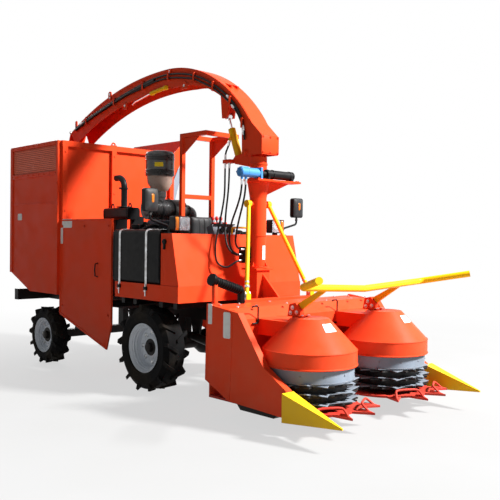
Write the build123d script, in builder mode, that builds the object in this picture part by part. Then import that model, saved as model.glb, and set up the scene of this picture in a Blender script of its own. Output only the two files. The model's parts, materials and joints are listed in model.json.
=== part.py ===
"""Self-propelled maize forage harvester with a two-drum header, an arched spout and a hopper.

Millimetres. +X is forward, +Y is the machine's left, +Z is up. The origin is on the ground,
under the middle of the machine. Named stations along X are worked out from the front axle.
"""
from build123d import *
from math import hypot, radians, sqrt, tan
import os

os.makedirs("parts", exist_ok=True)

# Running gear
FRONT_AXLE_X = 195.0
WHEELBASE = 2278.0
REAR_AXLE_X = FRONT_AXLE_X - WHEELBASE
FRONT_TYRE_R = 474.0
FRONT_TYRE_W = 280.0
FRONT_RIM_R = 254.0
FRONT_WHEEL_Y = 800.0
REAR_TYRE_R = 373.0
REAR_TYRE_W = 210.0
REAR_RIM_R = 212.0
REAR_WHEEL_Y = 805.0
LUG_H = 30.0
LUG_W = 40.0
LUG_ROOT = 55.0
LUGS_PER_SIDE = 13
SPINDLE_R = 42.0
RUN_FIT = 0.05
SIDE_PLAY = 0.4
KINGPIN_Y = 640.0
KINGPIN_R = 20.0
KNUCKLE_EYE_R = 45.0
KNUCKLE_EYE_H = 110.0
KNUCKLE_EAR_T = 28.0

# One half width sets the body: cowl, hopper, panels, tanks and rear beam
BODY_HALF = 920.0

# Chassis
RAIL_Y = 350.0
RAIL_W = 100.0
RAIL_H = 150.0
RAIL_TOP = 930.0
RAIL_FRONT_X = FRONT_AXLE_X + 640.0
REAR_BEAM_X = FRONT_AXLE_X - 3170.0
REAR_BEAM_W = 100.0
REAR_BEAM_HALF = BODY_HALF - 50.0
CROSS_W = 90.0
HITCH_X = REAR_BEAM_X - 55.0
HITCH_Z = 800.0
HITCH_T = 40.0
HITCH_L = 200.0
HITCH_W = 160.0
HITCH_R = 16.0
PIVOT_X = FRONT_AXLE_X + 690.0
PIVOT_Z = 850.0
PIVOT_EYE_R = 60.0
PIVOT_PIN_R = 25.0
PIVOT_GAP = 5.0

# Platform and front cowl
PLATFORM_HALF = BODY_HALF + 7.0
BEARER_INSET = 60.0
PLATFORM_REAR_X = FRONT_AXLE_X - 550.0
PLATFORM_FRONT_X = FRONT_AXLE_X + 606.0
PLATFORM_TOP = 1172.0
PLATFORM_T = 12.0
SKIRT_BOTTOM = 1000.0
COWL_TOP = 1719.0
COWL_TOP_FRONT_X = FRONT_AXLE_X + 484.0
COWL_REAR_X = FRONT_AXLE_X + 300.0
COWL_HALF = BODY_HALF
SHEET = 8.0

# Engine bay
ENGINE_X = (FRONT_AXLE_X - 1560.0, FRONT_AXLE_X - 640.0)
ENGINE_HALF = 320.0
ENGINE_TOP = 1740.0
PANEL_Y = BODY_HALF - 30.0
PANEL_T = 20.0
PANEL_TOP = 1886.0
PANEL_FRONT_X = FRONT_AXLE_X - 680.0
TANK_X = (FRONT_AXLE_X - 600.0, FRONT_AXLE_X + 285.0)
TANK_Y = (BODY_HALF - 360.0, BODY_HALF + 5.0)
TANK_TOP = 1760.0

# Hopper
HOPPER_FRONT_X = FRONT_AXLE_X - 1870.0
HOPPER_REAR_X = FRONT_AXLE_X - 3180.0
HOPPER_HALF = BODY_HALF
HOPPER_TOP = 2890.0
HOPPER_BOTTOM = RAIL_TOP
HOPPER_WALL = 30.0
HOPPER_CHAMFER_X = FRONT_AXLE_X - 2620.0
HOPPER_CHAMFER_Z = 1163.0
HOPPER_FLOOR_T = 30.0
FLARE_OUT = 230.0
FLARE_FOOT = 2460.0
FLARE_TOP = 3105.0
FLARE_T = 20.0
FRAME_W = 50.0
FRAME_PROUD = 14.0
WINDOW_FOOT = 2480.0
WINDOW_RECESS = 18.0
RIDGE_Z = 2095.0
RIDGE_W = 16.0
RIDGE_PROUD = 8.0
GATE_T = 40.0
GATE_GAP = 6.0
GATE_PIN_R = 18.0
GATE_HINGE_Y = BODY_HALF - 320.0

# Header
HEADER_HALF = 1080.0
HEADER_SIDE_T = 40.0
FOLD_W = 70.0
FOLD_T = 12.0
FOLD_SHARE = 0.84
HEADER_REAR_X = FRONT_AXLE_X + 1240.0
HEADER_BACK_FRONT_X = FRONT_AXLE_X + 1600.0
HEADER_TOP = 1040.0
HEADER_FLOOR = 170.0
HEADER_FLOOR_T = 20.0
BACK_T = 16.0
COVER_FLAT = 240.0
COVER_FALL = 15.0
COVER_NOSE = 110.0
MOUTH_HALF = 300.0
MOUTH_Z = (450.0, 850.0)
DRUM_X = FRONT_AXLE_X + 2087.0
DRUM_INSET = 510.0
DRUM_Y = HEADER_HALF - DRUM_INSET
HOOD_R = 430.0
HOOD_TOP_R = 170.0
HOOD_BOTTOM = 556.0
HOOD_EDGE = 690.0
HOOD_TOP = 965.0
HOOD_T = 10.0
BAND_R = 405.0
BAND_FOOT = 430.0
BAND_TOP = 600.0
CORE_R = 340.0
DRUM_TOP = 640.0
DRUM_T = 16.0
TOOTH_R = 440.0
TOOTH_ROOT_R = 385.0
TOOTH_LEAN = 0.72
TEETH = 24
DISC_T = 14.0
DISC_Z = (405.0, 325.0, 245.0)
DRUM_BOTTOM = 225.0
DRUM_SHAFT_R = 60.0
DIVIDER_TIP_X = FRONT_AXLE_X + 2880.0
DIVIDER_ROOT_X = FRONT_AXLE_X + 2290.0

# Chopper, pillar and spout
PILLAR_X = FRONT_AXLE_X + 811.0
PILLAR_R = 92.0
PILLAR_BASE = 1357.0
SLEW_Z = 2305.0
CHOPPER_X = FRONT_AXLE_X + 985.0
CHOPPER_Z = 640.0
CHOPPER_R = 250.0
CHOPPER_HALF = 330.0
SLEW_DRIVE_X = PILLAR_X + 165.0
SLEW_DRIVE_R = 50.0
SPOUT_W = 250.0
SPOUT_T = 8.0
SPOUT_HINGE = (PILLAR_X - 75.0, SLEW_Z + 305.0)
HINGE_R = 45.0
TURRET_TOP = SLEW_Z + 255.0
CYLINDER_FOOT = (PILLAR_X - 297.0, SLEW_Z + 240.0)
CYLINDER_HEAD = (PILLAR_X - 500.0, SLEW_Z + 755.0)
FLAP_L = 260.0


def save(piece, name):
    """Label a finished piece and write it as its own STEP file."""
    piece.label = name
    export_step(piece, f"parts/{name}.step")


def side_plane(y):
    """Sketch plane facing -Y at the given y, with local axes (x, z)."""
    return Plane.XZ.offset(-y)


def bar(start, end, radius):
    """Round bar between two points, for use inside a BuildPart block."""
    direction = Vector(*end) - Vector(*start)
    with BuildSketch(Plane(origin=start, z_dir=direction)) as section:
        Circle(radius)
    extrude(section.sketch, amount=direction.length)


def pin(x, z, y_from, y_to, radius, mode=Mode.ADD):
    """Cross pin or bore along Y, for use inside a BuildPart block."""
    with BuildSketch(side_plane(y_from)) as section:
        with Locations((x, z)):
            Circle(radius)
    extrude(section.sketch, amount=y_from - y_to, mode=mode)


def slab(x, y, z, mode=Mode.ADD):
    """Box between pairs of limits, for use inside a BuildPart block."""
    with BuildSketch(Plane.XY.offset(z[0])) as section:
        with Locations(((x[0] + x[1]) / 2, (y[0] + y[1]) / 2)):
            Rectangle(x[1] - x[0], y[1] - y[0])
    extrude(section.sketch, amount=z[1] - z[0], mode=mode)


def plate(points, y_from, y_to, mode=Mode.ADD):
    """Plate with an outline of (x, z) points between two values of y."""
    with BuildSketch(side_plane(y_from)) as section:
        with BuildLine():
            Polyline(*points, close=True)
        make_face()
    extrude(section.sketch, amount=y_from - y_to, mode=mode)


# Wheels: built with the axle along Z and the outer face up, then stood at their stations
def tyre_solid(radius, width, rim_r):
    """Lugged tyre: a revolved carcass with two rows of slanted lugs."""
    half = width / 2
    crown = radius - LUG_H
    with BuildPart() as tyre:
        with BuildSketch(Plane.XZ):
            with BuildLine():
                Polyline((rim_r, half * 0.72), (rim_r + 30, half * 0.95), (crown - 60, half))
                Line((crown - 60, half), (crown, half * 0.72))
                Line((crown, half * 0.72), (crown, -half * 0.72))
                Polyline((crown, -half * 0.72), (crown - 60, -half), (rim_r + 30, -half * 0.95))
                Polyline((rim_r + 30, -half * 0.95), (rim_r, -half * 0.72), (rim_r, half * 0.72))
            make_face()
        revolve(axis=Axis.Z)
        pitch = 360 / LUGS_PER_SIDE
        root_r = crown - LUG_ROOT
        sweep_back = half * 0.62
        lug_top = sqrt(radius ** 2 - (LUG_W / 2 + sweep_back) ** 2)
        for side, phase in ((1, 0), (-1, pitch / 2)):
            lug_planes = [
                Plane(
                    origin=Vector(root_r, 0, 0).rotate(Axis.Z, k * pitch + phase),
                    x_dir=Vector(0, 1, 0).rotate(Axis.Z, k * pitch + phase),
                    z_dir=Vector(1, 0, 0).rotate(Axis.Z, k * pitch + phase),
                )
                for k in range(LUGS_PER_SIDE)
            ]
            with BuildSketch(*lug_planes):
                with BuildLine():
                    Polyline(
                        (-LUG_W / 2, 0), (LUG_W / 2, 0),
                        (LUG_W / 2 + sweep_back, side * half), (-LUG_W / 2 + sweep_back, side * half),
                        close=True,
                    )
                make_face()
            extrude(amount=lug_top - root_r)
    return tyre.part


def rim_solid(radius, width, dish):
    """Steel rim: a flanged barrel with a dished disc, a hub and a spindle bore."""
    half = width / 2 * 0.72
    with BuildPart() as rim:
        with BuildSketch(Plane.XZ):
            with BuildLine():
                Polyline(
                    (radius - 0.3, half), (radius + 14, half + 22), (radius + 2, half + 26),
                    (radius - 14, half), (radius - 36, half * 0.35), (radius - 40, dish + 8),
                    (150, dish + 8), (110, dish + 34), (SPINDLE_R + RUN_FIT, dish + 34),
                    (SPINDLE_R + RUN_FIT, dish - 70), (95, dish - 70), (105, dish - 8),
                    (radius - 40, dish - 8), (radius - 36, -half * 0.6), (radius - 14, -half),
                    (radius - 0.3, -half), close=True,
                )
            make_face()
        revolve(axis=Axis.Z)
        with BuildSketch(Plane.XY.offset(dish - 10)):
            with PolarLocations(130, 6):
                Circle(11)
        extrude(amount=60, mode=Mode.SUBTRACT)
    return rim.part


WHEELS = (
    # name, x, y, radius, width, rim radius, disc offset
    ("front_right", FRONT_AXLE_X, -FRONT_WHEEL_Y, FRONT_TYRE_R, FRONT_TYRE_W, FRONT_RIM_R, -10.0),
    ("front_left", FRONT_AXLE_X, FRONT_WHEEL_Y, FRONT_TYRE_R, FRONT_TYRE_W, FRONT_RIM_R, -10.0),
    ("rear_right", REAR_AXLE_X, -REAR_WHEEL_Y, REAR_TYRE_R, REAR_TYRE_W, REAR_RIM_R, 0.0),
    ("rear_left", REAR_AXLE_X, REAR_WHEEL_Y, REAR_TYRE_R, REAR_TYRE_W, REAR_RIM_R, 0.0),
)
for name, x, y, radius, width, rim_r, dish in WHEELS:
    right_stand = Plane(origin=(x, -abs(y), radius), x_dir=(1, 0, 0), z_dir=(0, -1, 0)).location
    for kind, solid in (
        ("tyre", tyre_solid(radius, width, rim_r)),
        ("rim", rim_solid(rim_r, width, dish)),
    ):
        placed = right_stand * solid
        if y > 0:
            placed = mirror(placed, about=Plane.XZ)
        save(placed, f"{kind}_{name}")

# Front drive axle: differential, tubes, spindles and posts up to the rails
FRONT_HUB_Y = FRONT_WHEEL_Y - 10.0 - 70.0
with BuildPart() as front_axle:
    with BuildSketch(Plane.YZ.offset(FRONT_AXLE_X)):
        with BuildLine():
            Polyline(
                (0, FRONT_TYRE_R + 150), (110, FRONT_TYRE_R + 130), (200, FRONT_TYRE_R + 62),
                (FRONT_HUB_Y - 40, FRONT_TYRE_R + 62), (FRONT_HUB_Y - 40, FRONT_TYRE_R + 100),
                (FRONT_HUB_Y - SIDE_PLAY, FRONT_TYRE_R + 100), (FRONT_HUB_Y - SIDE_PLAY, FRONT_TYRE_R + SPINDLE_R),
                (FRONT_HUB_Y + 90, FRONT_TYRE_R + SPINDLE_R), (FRONT_HUB_Y + 90, FRONT_TYRE_R),
                (0, FRONT_TYRE_R), close=True,
            )
        make_face()
        mirror(about=Plane.YZ)
    revolve(axis=Axis((FRONT_AXLE_X, 0, FRONT_TYRE_R), (0, 1, 0)))
    for side in (1, -1):
        y_mid = side * RAIL_Y
        slab(
            (FRONT_AXLE_X - 70, FRONT_AXLE_X + 70), (y_mid - 45, y_mid + 45),
            (FRONT_TYRE_R + 20, RAIL_TOP - RAIL_H),
        )
save(front_axle.part, "front_axle")

# Rear axle: box beam with a kingpin eye at each end
with BuildPart() as rear_axle:
    slab(
        (REAR_AXLE_X - 60, REAR_AXLE_X + 60), (-KINGPIN_Y, KINGPIN_Y),
        (REAR_TYRE_R - 50, REAR_TYRE_R + 50),
    )
    for side in (1, -1):
        slab(
            (REAR_AXLE_X - 70, REAR_AXLE_X + 70), (side * (KINGPIN_Y - KNUCKLE_EYE_R / 3), side * (KINGPIN_Y + 260))[::side],
            (REAR_TYRE_R - 80, REAR_TYRE_R + 80), mode=Mode.SUBTRACT,
        )
        with BuildSketch(Plane.XY.offset(REAR_TYRE_R - KNUCKLE_EYE_H / 2)):
            with Locations((REAR_AXLE_X, side * KINGPIN_Y)):
                Circle(KNUCKLE_EYE_R)
        extrude(amount=KNUCKLE_EYE_H)
        with BuildSketch(Plane.XY.offset(REAR_TYRE_R - KNUCKLE_EYE_H / 2)):
            with Locations((REAR_AXLE_X, side * KINGPIN_Y)):
                Circle(KINGPIN_R + RUN_FIT)
        extrude(amount=KNUCKLE_EYE_H, mode=Mode.SUBTRACT)
        y_mid = side * RAIL_Y
        slab(
            (REAR_AXLE_X - 60, REAR_AXLE_X + 60), (y_mid - 45, y_mid + 45),
            (REAR_TYRE_R + 20, RAIL_TOP - RAIL_H),
        )
save(rear_axle.part, "rear_axle")

# Steering knuckles: yoke round the axle eye, kingpin and wheel spindle
REAR_HUB_Y = REAR_WHEEL_Y - 70.0
for name, side in (("right", -1), ("left", 1)):
    with BuildPart() as knuckle:
        ear_from = KNUCKLE_EYE_H / 2 + SIDE_PLAY
        web = (KINGPIN_Y + KNUCKLE_EYE_R + 4, REAR_HUB_Y - SIDE_PLAY)
        for up in (1, -1):
            heights = (REAR_TYRE_R + up * ear_from, REAR_TYRE_R + up * (ear_from + KNUCKLE_EAR_T))[::up]
            slab((REAR_AXLE_X - 38, REAR_AXLE_X + 38), (side * (KINGPIN_Y - 34), side * web[1])[::side], heights)
        slab(
            (REAR_AXLE_X - 60, REAR_AXLE_X + 60), (side * web[0], side * web[1])[::side],
            (REAR_TYRE_R - ear_from - KNUCKLE_EAR_T, REAR_TYRE_R + ear_from + KNUCKLE_EAR_T),
        )
        with BuildSketch(Plane.XY.offset(REAR_TYRE_R - ear_from - 2)):
            with Locations((REAR_AXLE_X, side * KINGPIN_Y)):
                Circle(KINGPIN_R)
        extrude(amount=2 * ear_from + 4)
        pin(REAR_AXLE_X, REAR_TYRE_R, side * (REAR_HUB_Y - 5), side * (REAR_HUB_Y + 95), SPINDLE_R)
    save(knuckle.part, f"knuckle_{name}")

# Chassis: two rails with the header's pivot eyes and the lift-cylinder ears
LIFT_FOOT = (FRONT_AXLE_X + 260.0, 600.0)
LIFT_EYE = (FRONT_AXLE_X + 1195.0, 450.0)
LIFT_Y = 450.0
LIFT_PIN_R = 20.0
LIFT_EYE_R = 42.0
LIFT_BARREL_R = 45.0
LIFT_ROD_R = 24.0
LIFT_BARREL_L = 520.0
EYE_CLEAR = 1.5
RAIL_INNER = RAIL_Y - RAIL_W / 2
RAIL_OUTER = RAIL_Y + RAIL_W / 2
with BuildPart() as chassis:
    for side in (1, -1):
        rail = (side * RAIL_Y - RAIL_W / 2, side * RAIL_Y + RAIL_W / 2)
        slab((REAR_BEAM_X + REAR_BEAM_W, RAIL_FRONT_X), rail, (RAIL_TOP - RAIL_H, RAIL_TOP))
        plate(
            ((RAIL_FRONT_X - 20, RAIL_TOP - RAIL_H), (RAIL_FRONT_X - 20, RAIL_TOP),
             (PIVOT_X, PIVOT_Z + PIVOT_EYE_R), (PIVOT_X, PIVOT_Z - PIVOT_EYE_R)),
            rail[0], rail[1],
        )
        pin(PIVOT_X, PIVOT_Z, rail[0], rail[1], PIVOT_EYE_R)
        pin(PIVOT_X, PIVOT_Z, rail[0], rail[1], PIVOT_PIN_R + RUN_FIT, mode=Mode.SUBTRACT)
        inner, outer = side * (RAIL_Y + 20), side * RAIL_OUTER
        plate(
            ((LIFT_FOOT[0] - 90, RAIL_TOP - RAIL_H), (LIFT_FOOT[0] + 90, RAIL_TOP - RAIL_H),
             (LIFT_FOOT[0] + 40, LIFT_FOOT[1] - 40), (LIFT_FOOT[0] - 40, LIFT_FOOT[1] - 40)),
            inner, outer,
        )
        pin(*LIFT_FOOT, outer - side * 5, side * (LIFT_Y + LIFT_EYE_R), LIFT_PIN_R)
save(chassis.part, "chassis_frame")

# Cross members between the rails, bearers under platform and engine bay, rear beam with tow plate
BEARER_W = 60.0
BEARER_H = 80.0
with BuildPart() as crossmembers:
    for x in (REAR_AXLE_X - 300, REAR_AXLE_X + 500, FRONT_AXLE_X - 480, FRONT_AXLE_X + 480):
        slab((x - CROSS_W / 2, x + CROSS_W / 2), (-RAIL_INNER, RAIL_INNER), (RAIL_TOP - 110, RAIL_TOP - 20))
    for x in (PLATFORM_REAR_X + 80, FRONT_AXLE_X - 240, FRONT_AXLE_X + 240, PLATFORM_FRONT_X - 120):
        slab(
            (x - BEARER_W / 2, x + BEARER_W / 2), (-PLATFORM_HALF + BEARER_INSET, PLATFORM_HALF - BEARER_INSET),
            (RAIL_TOP, PLATFORM_TOP - PLATFORM_T),
        )
    for x in (HOPPER_FRONT_X + 120, PANEL_FRONT_X - 120):
        for y in ((-PANEL_Y + PANEL_T, -RAIL_OUTER), (RAIL_OUTER, PANEL_Y - PANEL_T)):
            slab((x - BEARER_W / 2, x + BEARER_W / 2), y, (RAIL_TOP - BEARER_H, RAIL_TOP))
    slab(
        (REAR_BEAM_X, REAR_BEAM_X + REAR_BEAM_W), (-REAR_BEAM_HALF, REAR_BEAM_HALF),
        (RAIL_TOP - RAIL_H, RAIL_TOP),
    )
    with BuildSketch(Plane.XY.offset(HITCH_Z)):
        with Locations((REAR_BEAM_X, 0)):
            Rectangle(HITCH_L, HITCH_W)
        with Locations((HITCH_X, 0)):
            Circle(HITCH_R, mode=Mode.SUBTRACT)
    extrude(amount=HITCH_T)
save(crossmembers.part, "chassis_crossmembers")

# Platform pan with a turned-down skirt
with BuildPart() as platform:
    slab(
        (PLATFORM_REAR_X, PLATFORM_FRONT_X), (-PLATFORM_HALF, PLATFORM_HALF),
        (SKIRT_BOTTOM, PLATFORM_TOP),
    )
    slab(
        (PLATFORM_REAR_X + PLATFORM_T, PLATFORM_FRONT_X - PLATFORM_T),
        (-PLATFORM_HALF + PLATFORM_T, PLATFORM_HALF - PLATFORM_T),
        (SKIRT_BOTTOM, PLATFORM_TOP - PLATFORM_T), mode=Mode.SUBTRACT,
    )
save(platform.part, "platform")

# Front cowl: raked front sheet, two cheeks and a narrow top, open to the rear
with BuildPart() as cowl:
    slope = (PLATFORM_FRONT_X - COWL_TOP_FRONT_X) / (COWL_TOP - PLATFORM_TOP)
    plate(
        ((COWL_REAR_X, PLATFORM_TOP), (PLATFORM_FRONT_X, PLATFORM_TOP),
         (COWL_TOP_FRONT_X, COWL_TOP), (COWL_REAR_X, COWL_TOP)),
        -COWL_HALF, COWL_HALF,
    )
    plate(
        ((COWL_REAR_X, PLATFORM_TOP), (PLATFORM_FRONT_X - SHEET, PLATFORM_TOP),
         (COWL_TOP_FRONT_X - SHEET + slope * SHEET, COWL_TOP - SHEET), (COWL_REAR_X, COWL_TOP - SHEET)),
        -COWL_HALF + SHEET, COWL_HALF - SHEET, mode=Mode.SUBTRACT,
    )
save(cowl.part, "front_cowl")

# Engine: one plain block on the rails
with BuildPart() as engine:
    slab(ENGINE_X, (-ENGINE_HALF, ENGINE_HALF), (RAIL_TOP, ENGINE_TOP))
save(engine.part, "engine")

# Side panels of the engine bay, with their slanted lower edge
with BuildPart() as side_panels:
    for side in (1, -1):
        plate(
            ((HOPPER_FRONT_X, 683), (HOPPER_FRONT_X, PANEL_TOP), (PANEL_FRONT_X, PANEL_TOP),
             (PANEL_FRONT_X, 660), (PANEL_FRONT_X - 100, 356)),
            side * PANEL_Y, side * (PANEL_Y - PANEL_T),
        )
save(side_panels.part, "engine_side_panels")

# Fuel tank on the right and a shorter oil tank on the left
OIL_TANK_FRONT_X = FRONT_AXLE_X - 150.0
for name, side, front_x in (("fuel_tank", -1, TANK_X[1]), ("oil_tank", 1, OIL_TANK_FRONT_X)):
    with BuildPart() as tank:
        slab((TANK_X[0], front_x), (side * TANK_Y[0], side * TANK_Y[1])[::side], (PLATFORM_TOP, TANK_TOP))
        fillet(tank.edges().filter_by(Axis.X), 45)
        with BuildSketch(Plane.XY.offset(TANK_TOP)):
            with Locations((TANK_X[0] + 130, side * (TANK_Y[0] + 150))):
                Circle(45)
        extrude(amount=35)
    save(tank.part, name)

# Air cleaner: pre-cleaner canister and bowl over a lying filter drum with its elbow
AIR_X = FRONT_AXLE_X - 500.0
AIR_Y = -350.0
FILTER_Z = 2010.0
FILTER_R = 115.0
with BuildPart() as air_cleaner:
    with BuildSketch(Plane.XZ.offset(-AIR_Y)):
        with BuildLine():
            Polyline(
                (AIR_X, FILTER_Z), (AIR_X + 70, FILTER_Z), (AIR_X + 70, 2215), (AIR_X + 95, 2240),
                (AIR_X + 145, 2320), (AIR_X + 150, 2395), (AIR_X + 168, 2400), (AIR_X + 168, 2640),
                (AIR_X + 150, 2675), (AIR_X + 100, 2690), (AIR_X, 2692), close=True,
            )
        make_face()
    revolve(axis=Axis((AIR_X, AIR_Y, 0), (0, 0, 1)))
    pin(AIR_X, FILTER_Z, AIR_Y - 170, AIR_Y + 330, FILTER_R)
    pin(AIR_X, FILTER_Z, AIR_Y - 185, AIR_Y - 165, FILTER_R + 10)
    with BuildSketch(Plane.XY.offset(ENGINE_TOP)):
        with Locations((AIR_X - 160, AIR_Y + 250)):
            Rectangle(420, 100)
    extrude(amount=30)
    slab((AIR_X - 60, AIR_X + 60), (AIR_Y + 210, AIR_Y + 290), (ENGINE_TOP, FILTER_Z))
save(air_cleaner.part, "air_cleaner")

# Muffler box on two feet, with an upright pipe and a swept tail
MUFFLER_X = (FRONT_AXLE_X - 1440.0, FRONT_AXLE_X - 900.0)
MUFFLER_Y = -440.0
MUFFLER_Z = (1890.0, 2035.0)
PIPE_X = FRONT_AXLE_X - 1110.0
PIPE_R = 38.0
with BuildPart() as muffler:
    slab(MUFFLER_X, (MUFFLER_Y - 90, MUFFLER_Y + 90), MUFFLER_Z)
    fillet(muffler.edges().filter_by(Axis.X), 40)
    for x in (MUFFLER_X[0] + 90, MUFFLER_X[1] - 90):
        slab((x - 20, x + 20), (MUFFLER_Y + 20, -ENGINE_HALF + 80), (ENGINE_TOP, MUFFLER_Z[0] + 40))
    with BuildLine() as pipe_path:
        stem = Line((PIPE_X, MUFFLER_Y, MUFFLER_Z[1] - 10), (PIPE_X, MUFFLER_Y, 2290))
        bend = TangentArc(stem @ 1, (PIPE_X - 120, MUFFLER_Y, 2410), tangent=(0, 0, 1))
        Line(bend @ 1, bend @ 1 + bend % 1 * 60)
    with BuildSketch(Plane.XY.offset(MUFFLER_Z[1] - 10)):
        with Locations((PIPE_X, MUFFLER_Y)):
            Circle(PIPE_R)
    sweep(path=pipe_path.line)
save(muffler.part, "muffler")

# Hopper: floor with a raised rear, right wall, flared left wall, front wall and rear gate
INNER = HOPPER_HALF - HOPPER_WALL
SIDE_OUTLINE = (
    (HOPPER_REAR_X, HOPPER_TOP), (HOPPER_REAR_X, HOPPER_CHAMFER_Z),
    (HOPPER_CHAMFER_X, HOPPER_BOTTOM), (HOPPER_FRONT_X, HOPPER_BOTTOM),
    (HOPPER_FRONT_X, HOPPER_TOP),
)
with BuildPart() as hopper_floor:
    plate(
        ((HOPPER_REAR_X, HOPPER_CHAMFER_Z), (HOPPER_CHAMFER_X, HOPPER_BOTTOM),
         (HOPPER_FRONT_X - HOPPER_WALL, HOPPER_BOTTOM),
         (HOPPER_FRONT_X - HOPPER_WALL, HOPPER_BOTTOM + HOPPER_FLOOR_T),
         (HOPPER_CHAMFER_X, HOPPER_BOTTOM + HOPPER_FLOOR_T),
         (HOPPER_REAR_X, HOPPER_CHAMFER_Z + HOPPER_FLOOR_T)),
        -INNER, INNER,
    )
save(hopper_floor.part, "hopper_floor")

with BuildPart() as hopper_right:
    plate(SIDE_OUTLINE, -HOPPER_HALF, -INNER)
    face, proud = -HOPPER_HALF, -HOPPER_HALF - FRAME_PROUD
    for x in ((HOPPER_REAR_X, HOPPER_REAR_X + FRAME_W), (HOPPER_FRONT_X - FRAME_W, HOPPER_FRONT_X)):
        slab(x, (proud, face), (HOPPER_CHAMFER_Z if x[0] == HOPPER_REAR_X else HOPPER_BOTTOM, HOPPER_TOP))
    for z in (HOPPER_TOP - FRAME_W, WINDOW_FOOT - FRAME_W / 2, RIDGE_Z):
        depth = FRAME_PROUD if z != RIDGE_Z else RIDGE_PROUD
        slab((HOPPER_REAR_X, HOPPER_FRONT_X), (face - depth, face), (z, z + (FRAME_W if z != RIDGE_Z else RIDGE_W)))
    slab(
        (HOPPER_REAR_X + FRAME_W, HOPPER_FRONT_X - FRAME_W), (face, face + WINDOW_RECESS),
        (WINDOW_FOOT + FRAME_W / 2, HOPPER_TOP - FRAME_W), mode=Mode.SUBTRACT,
    )
save(hopper_right.part, "hopper_right_wall")

with BuildPart() as hopper_left:
    plate(
        ((HOPPER_REAR_X, FLARE_FOOT), (HOPPER_REAR_X, HOPPER_CHAMFER_Z),
         (HOPPER_CHAMFER_X, HOPPER_BOTTOM), (HOPPER_FRONT_X, HOPPER_BOTTOM),
         (HOPPER_FRONT_X, FLARE_FOOT)),
        INNER, HOPPER_HALF,
    )
    with BuildSketch(Plane.YZ.offset(HOPPER_REAR_X)):
        with BuildLine():
            Polyline(
                (INNER, FLARE_FOOT - 20), (HOPPER_HALF, FLARE_FOOT - 20),
                (HOPPER_HALF + FLARE_OUT, FLARE_TOP), (HOPPER_HALF + FLARE_OUT - HOPPER_WALL, FLARE_TOP),
                (INNER, FLARE_FOOT), close=True,
            )
        make_face()
    extrude(amount=HOPPER_FRONT_X - HOPPER_REAR_X)
    with BuildSketch(Plane.YZ.offset(HOPPER_FRONT_X - FLARE_T)):
        with BuildLine():
            Polyline(
                (HOPPER_HALF + FLARE_OUT - HOPPER_WALL, FLARE_TOP), (HOPPER_HALF - 3, HOPPER_TOP),
                (HOPPER_HALF - 3, FLARE_FOOT), close=True,
            )
        make_face()
    extrude(amount=FLARE_T)
save(hopper_left.part, "hopper_left_wall")

with BuildPart() as hopper_front:
    slab(
        (HOPPER_FRONT_X - HOPPER_WALL, HOPPER_FRONT_X), (-INNER, INNER),
        (HOPPER_BOTTOM + HOPPER_FLOOR_T, HOPPER_TOP),
    )
    for y in (-INNER + 40, -120, INNER - 40):
        slab((HOPPER_FRONT_X, HOPPER_FRONT_X + 45), (y - 35, y + 35), (PANEL_TOP, HOPPER_TOP))
    slab((HOPPER_FRONT_X, HOPPER_FRONT_X + 45), (-INNER, INNER), (HOPPER_TOP - 70, HOPPER_TOP))
save(hopper_front.part, "hopper_front_wall")

GATE_X = HOPPER_REAR_X - GATE_GAP
GATE_PIN = (GATE_X - GATE_T / 2, HOPPER_TOP + 30)
with BuildPart() as hopper_gate:
    slab((GATE_X - GATE_T, GATE_X), (-HOPPER_HALF, HOPPER_HALF), (HOPPER_CHAMFER_Z, HOPPER_TOP - 8))
    for y in (-GATE_HINGE_Y, GATE_HINGE_Y):
        pin(*GATE_PIN, y - 60, y + 60, 30)
        slab((GATE_X - GATE_T, GATE_X), (y - 60, y + 60), (HOPPER_TOP - 10, GATE_PIN[1]))
        pin(*GATE_PIN, y - 60, y + 60, GATE_PIN_R + RUN_FIT, mode=Mode.SUBTRACT)
save(hopper_gate.part, "hopper_gate")

# Gate header bar: rear top beam of the hopper with the hinge pins
with BuildPart() as gate_beam:
    slab((HOPPER_REAR_X, HOPPER_REAR_X + 50), (-INNER, INNER), (HOPPER_TOP - 60, HOPPER_TOP))
    for y in (-GATE_HINGE_Y, GATE_HINGE_Y):
        for side in (1, -1):
            ear = y + side * 85
            plate(
                ((HOPPER_REAR_X + 50, HOPPER_TOP - 5), (HOPPER_REAR_X + 50, HOPPER_TOP + 30),
                 (GATE_PIN[0], GATE_PIN[1] + 28), (GATE_PIN[0] - 24, GATE_PIN[1]),
                 (GATE_PIN[0], HOPPER_TOP + 8), (HOPPER_REAR_X, HOPPER_TOP + 5),
                 (HOPPER_REAR_X, HOPPER_TOP - 5)),
                ear - 20, ear + 20,
            )
        pin(*GATE_PIN, y - 90, y + 90, GATE_PIN_R)
save(gate_beam.part, "gate_beam")

# Roll frame: two posts, cross bars and a short roof with gussets
CAGE_X = FRONT_AXLE_X - 300.0
CAGE_Y = (-170.0, 290.0)
CAGE_TOP = 2900.0
CAGE_TUBE = 50.0
CAGE_FRONT_X = FRONT_AXLE_X + 150.0
half_tube = CAGE_TUBE / 2
with BuildPart() as roll_cage:
    for y in CAGE_Y:
        slab((CAGE_X - half_tube, CAGE_X + half_tube), (y - half_tube, y + half_tube), (PLATFORM_TOP, CAGE_TOP))
        slab((CAGE_X, CAGE_FRONT_X), (y - half_tube, y + half_tube), (CAGE_TOP - CAGE_TUBE, CAGE_TOP))
        plate(
            ((CAGE_X, CAGE_TOP - 260), (CAGE_X, CAGE_TOP - 10), (CAGE_X + 300, CAGE_TOP - 10),
             (CAGE_X + 300, CAGE_TOP - 60)),
            y - 5, y + 5,
        )
    for x, z in ((CAGE_X, 2190.0), (CAGE_X, CAGE_TOP), (CAGE_FRONT_X - half_tube, CAGE_TOP)):
        slab((x - half_tube, x + half_tube), CAGE_Y, (z - CAGE_TUBE, z))
save(roll_cage.part, "roll_cage")

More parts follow.
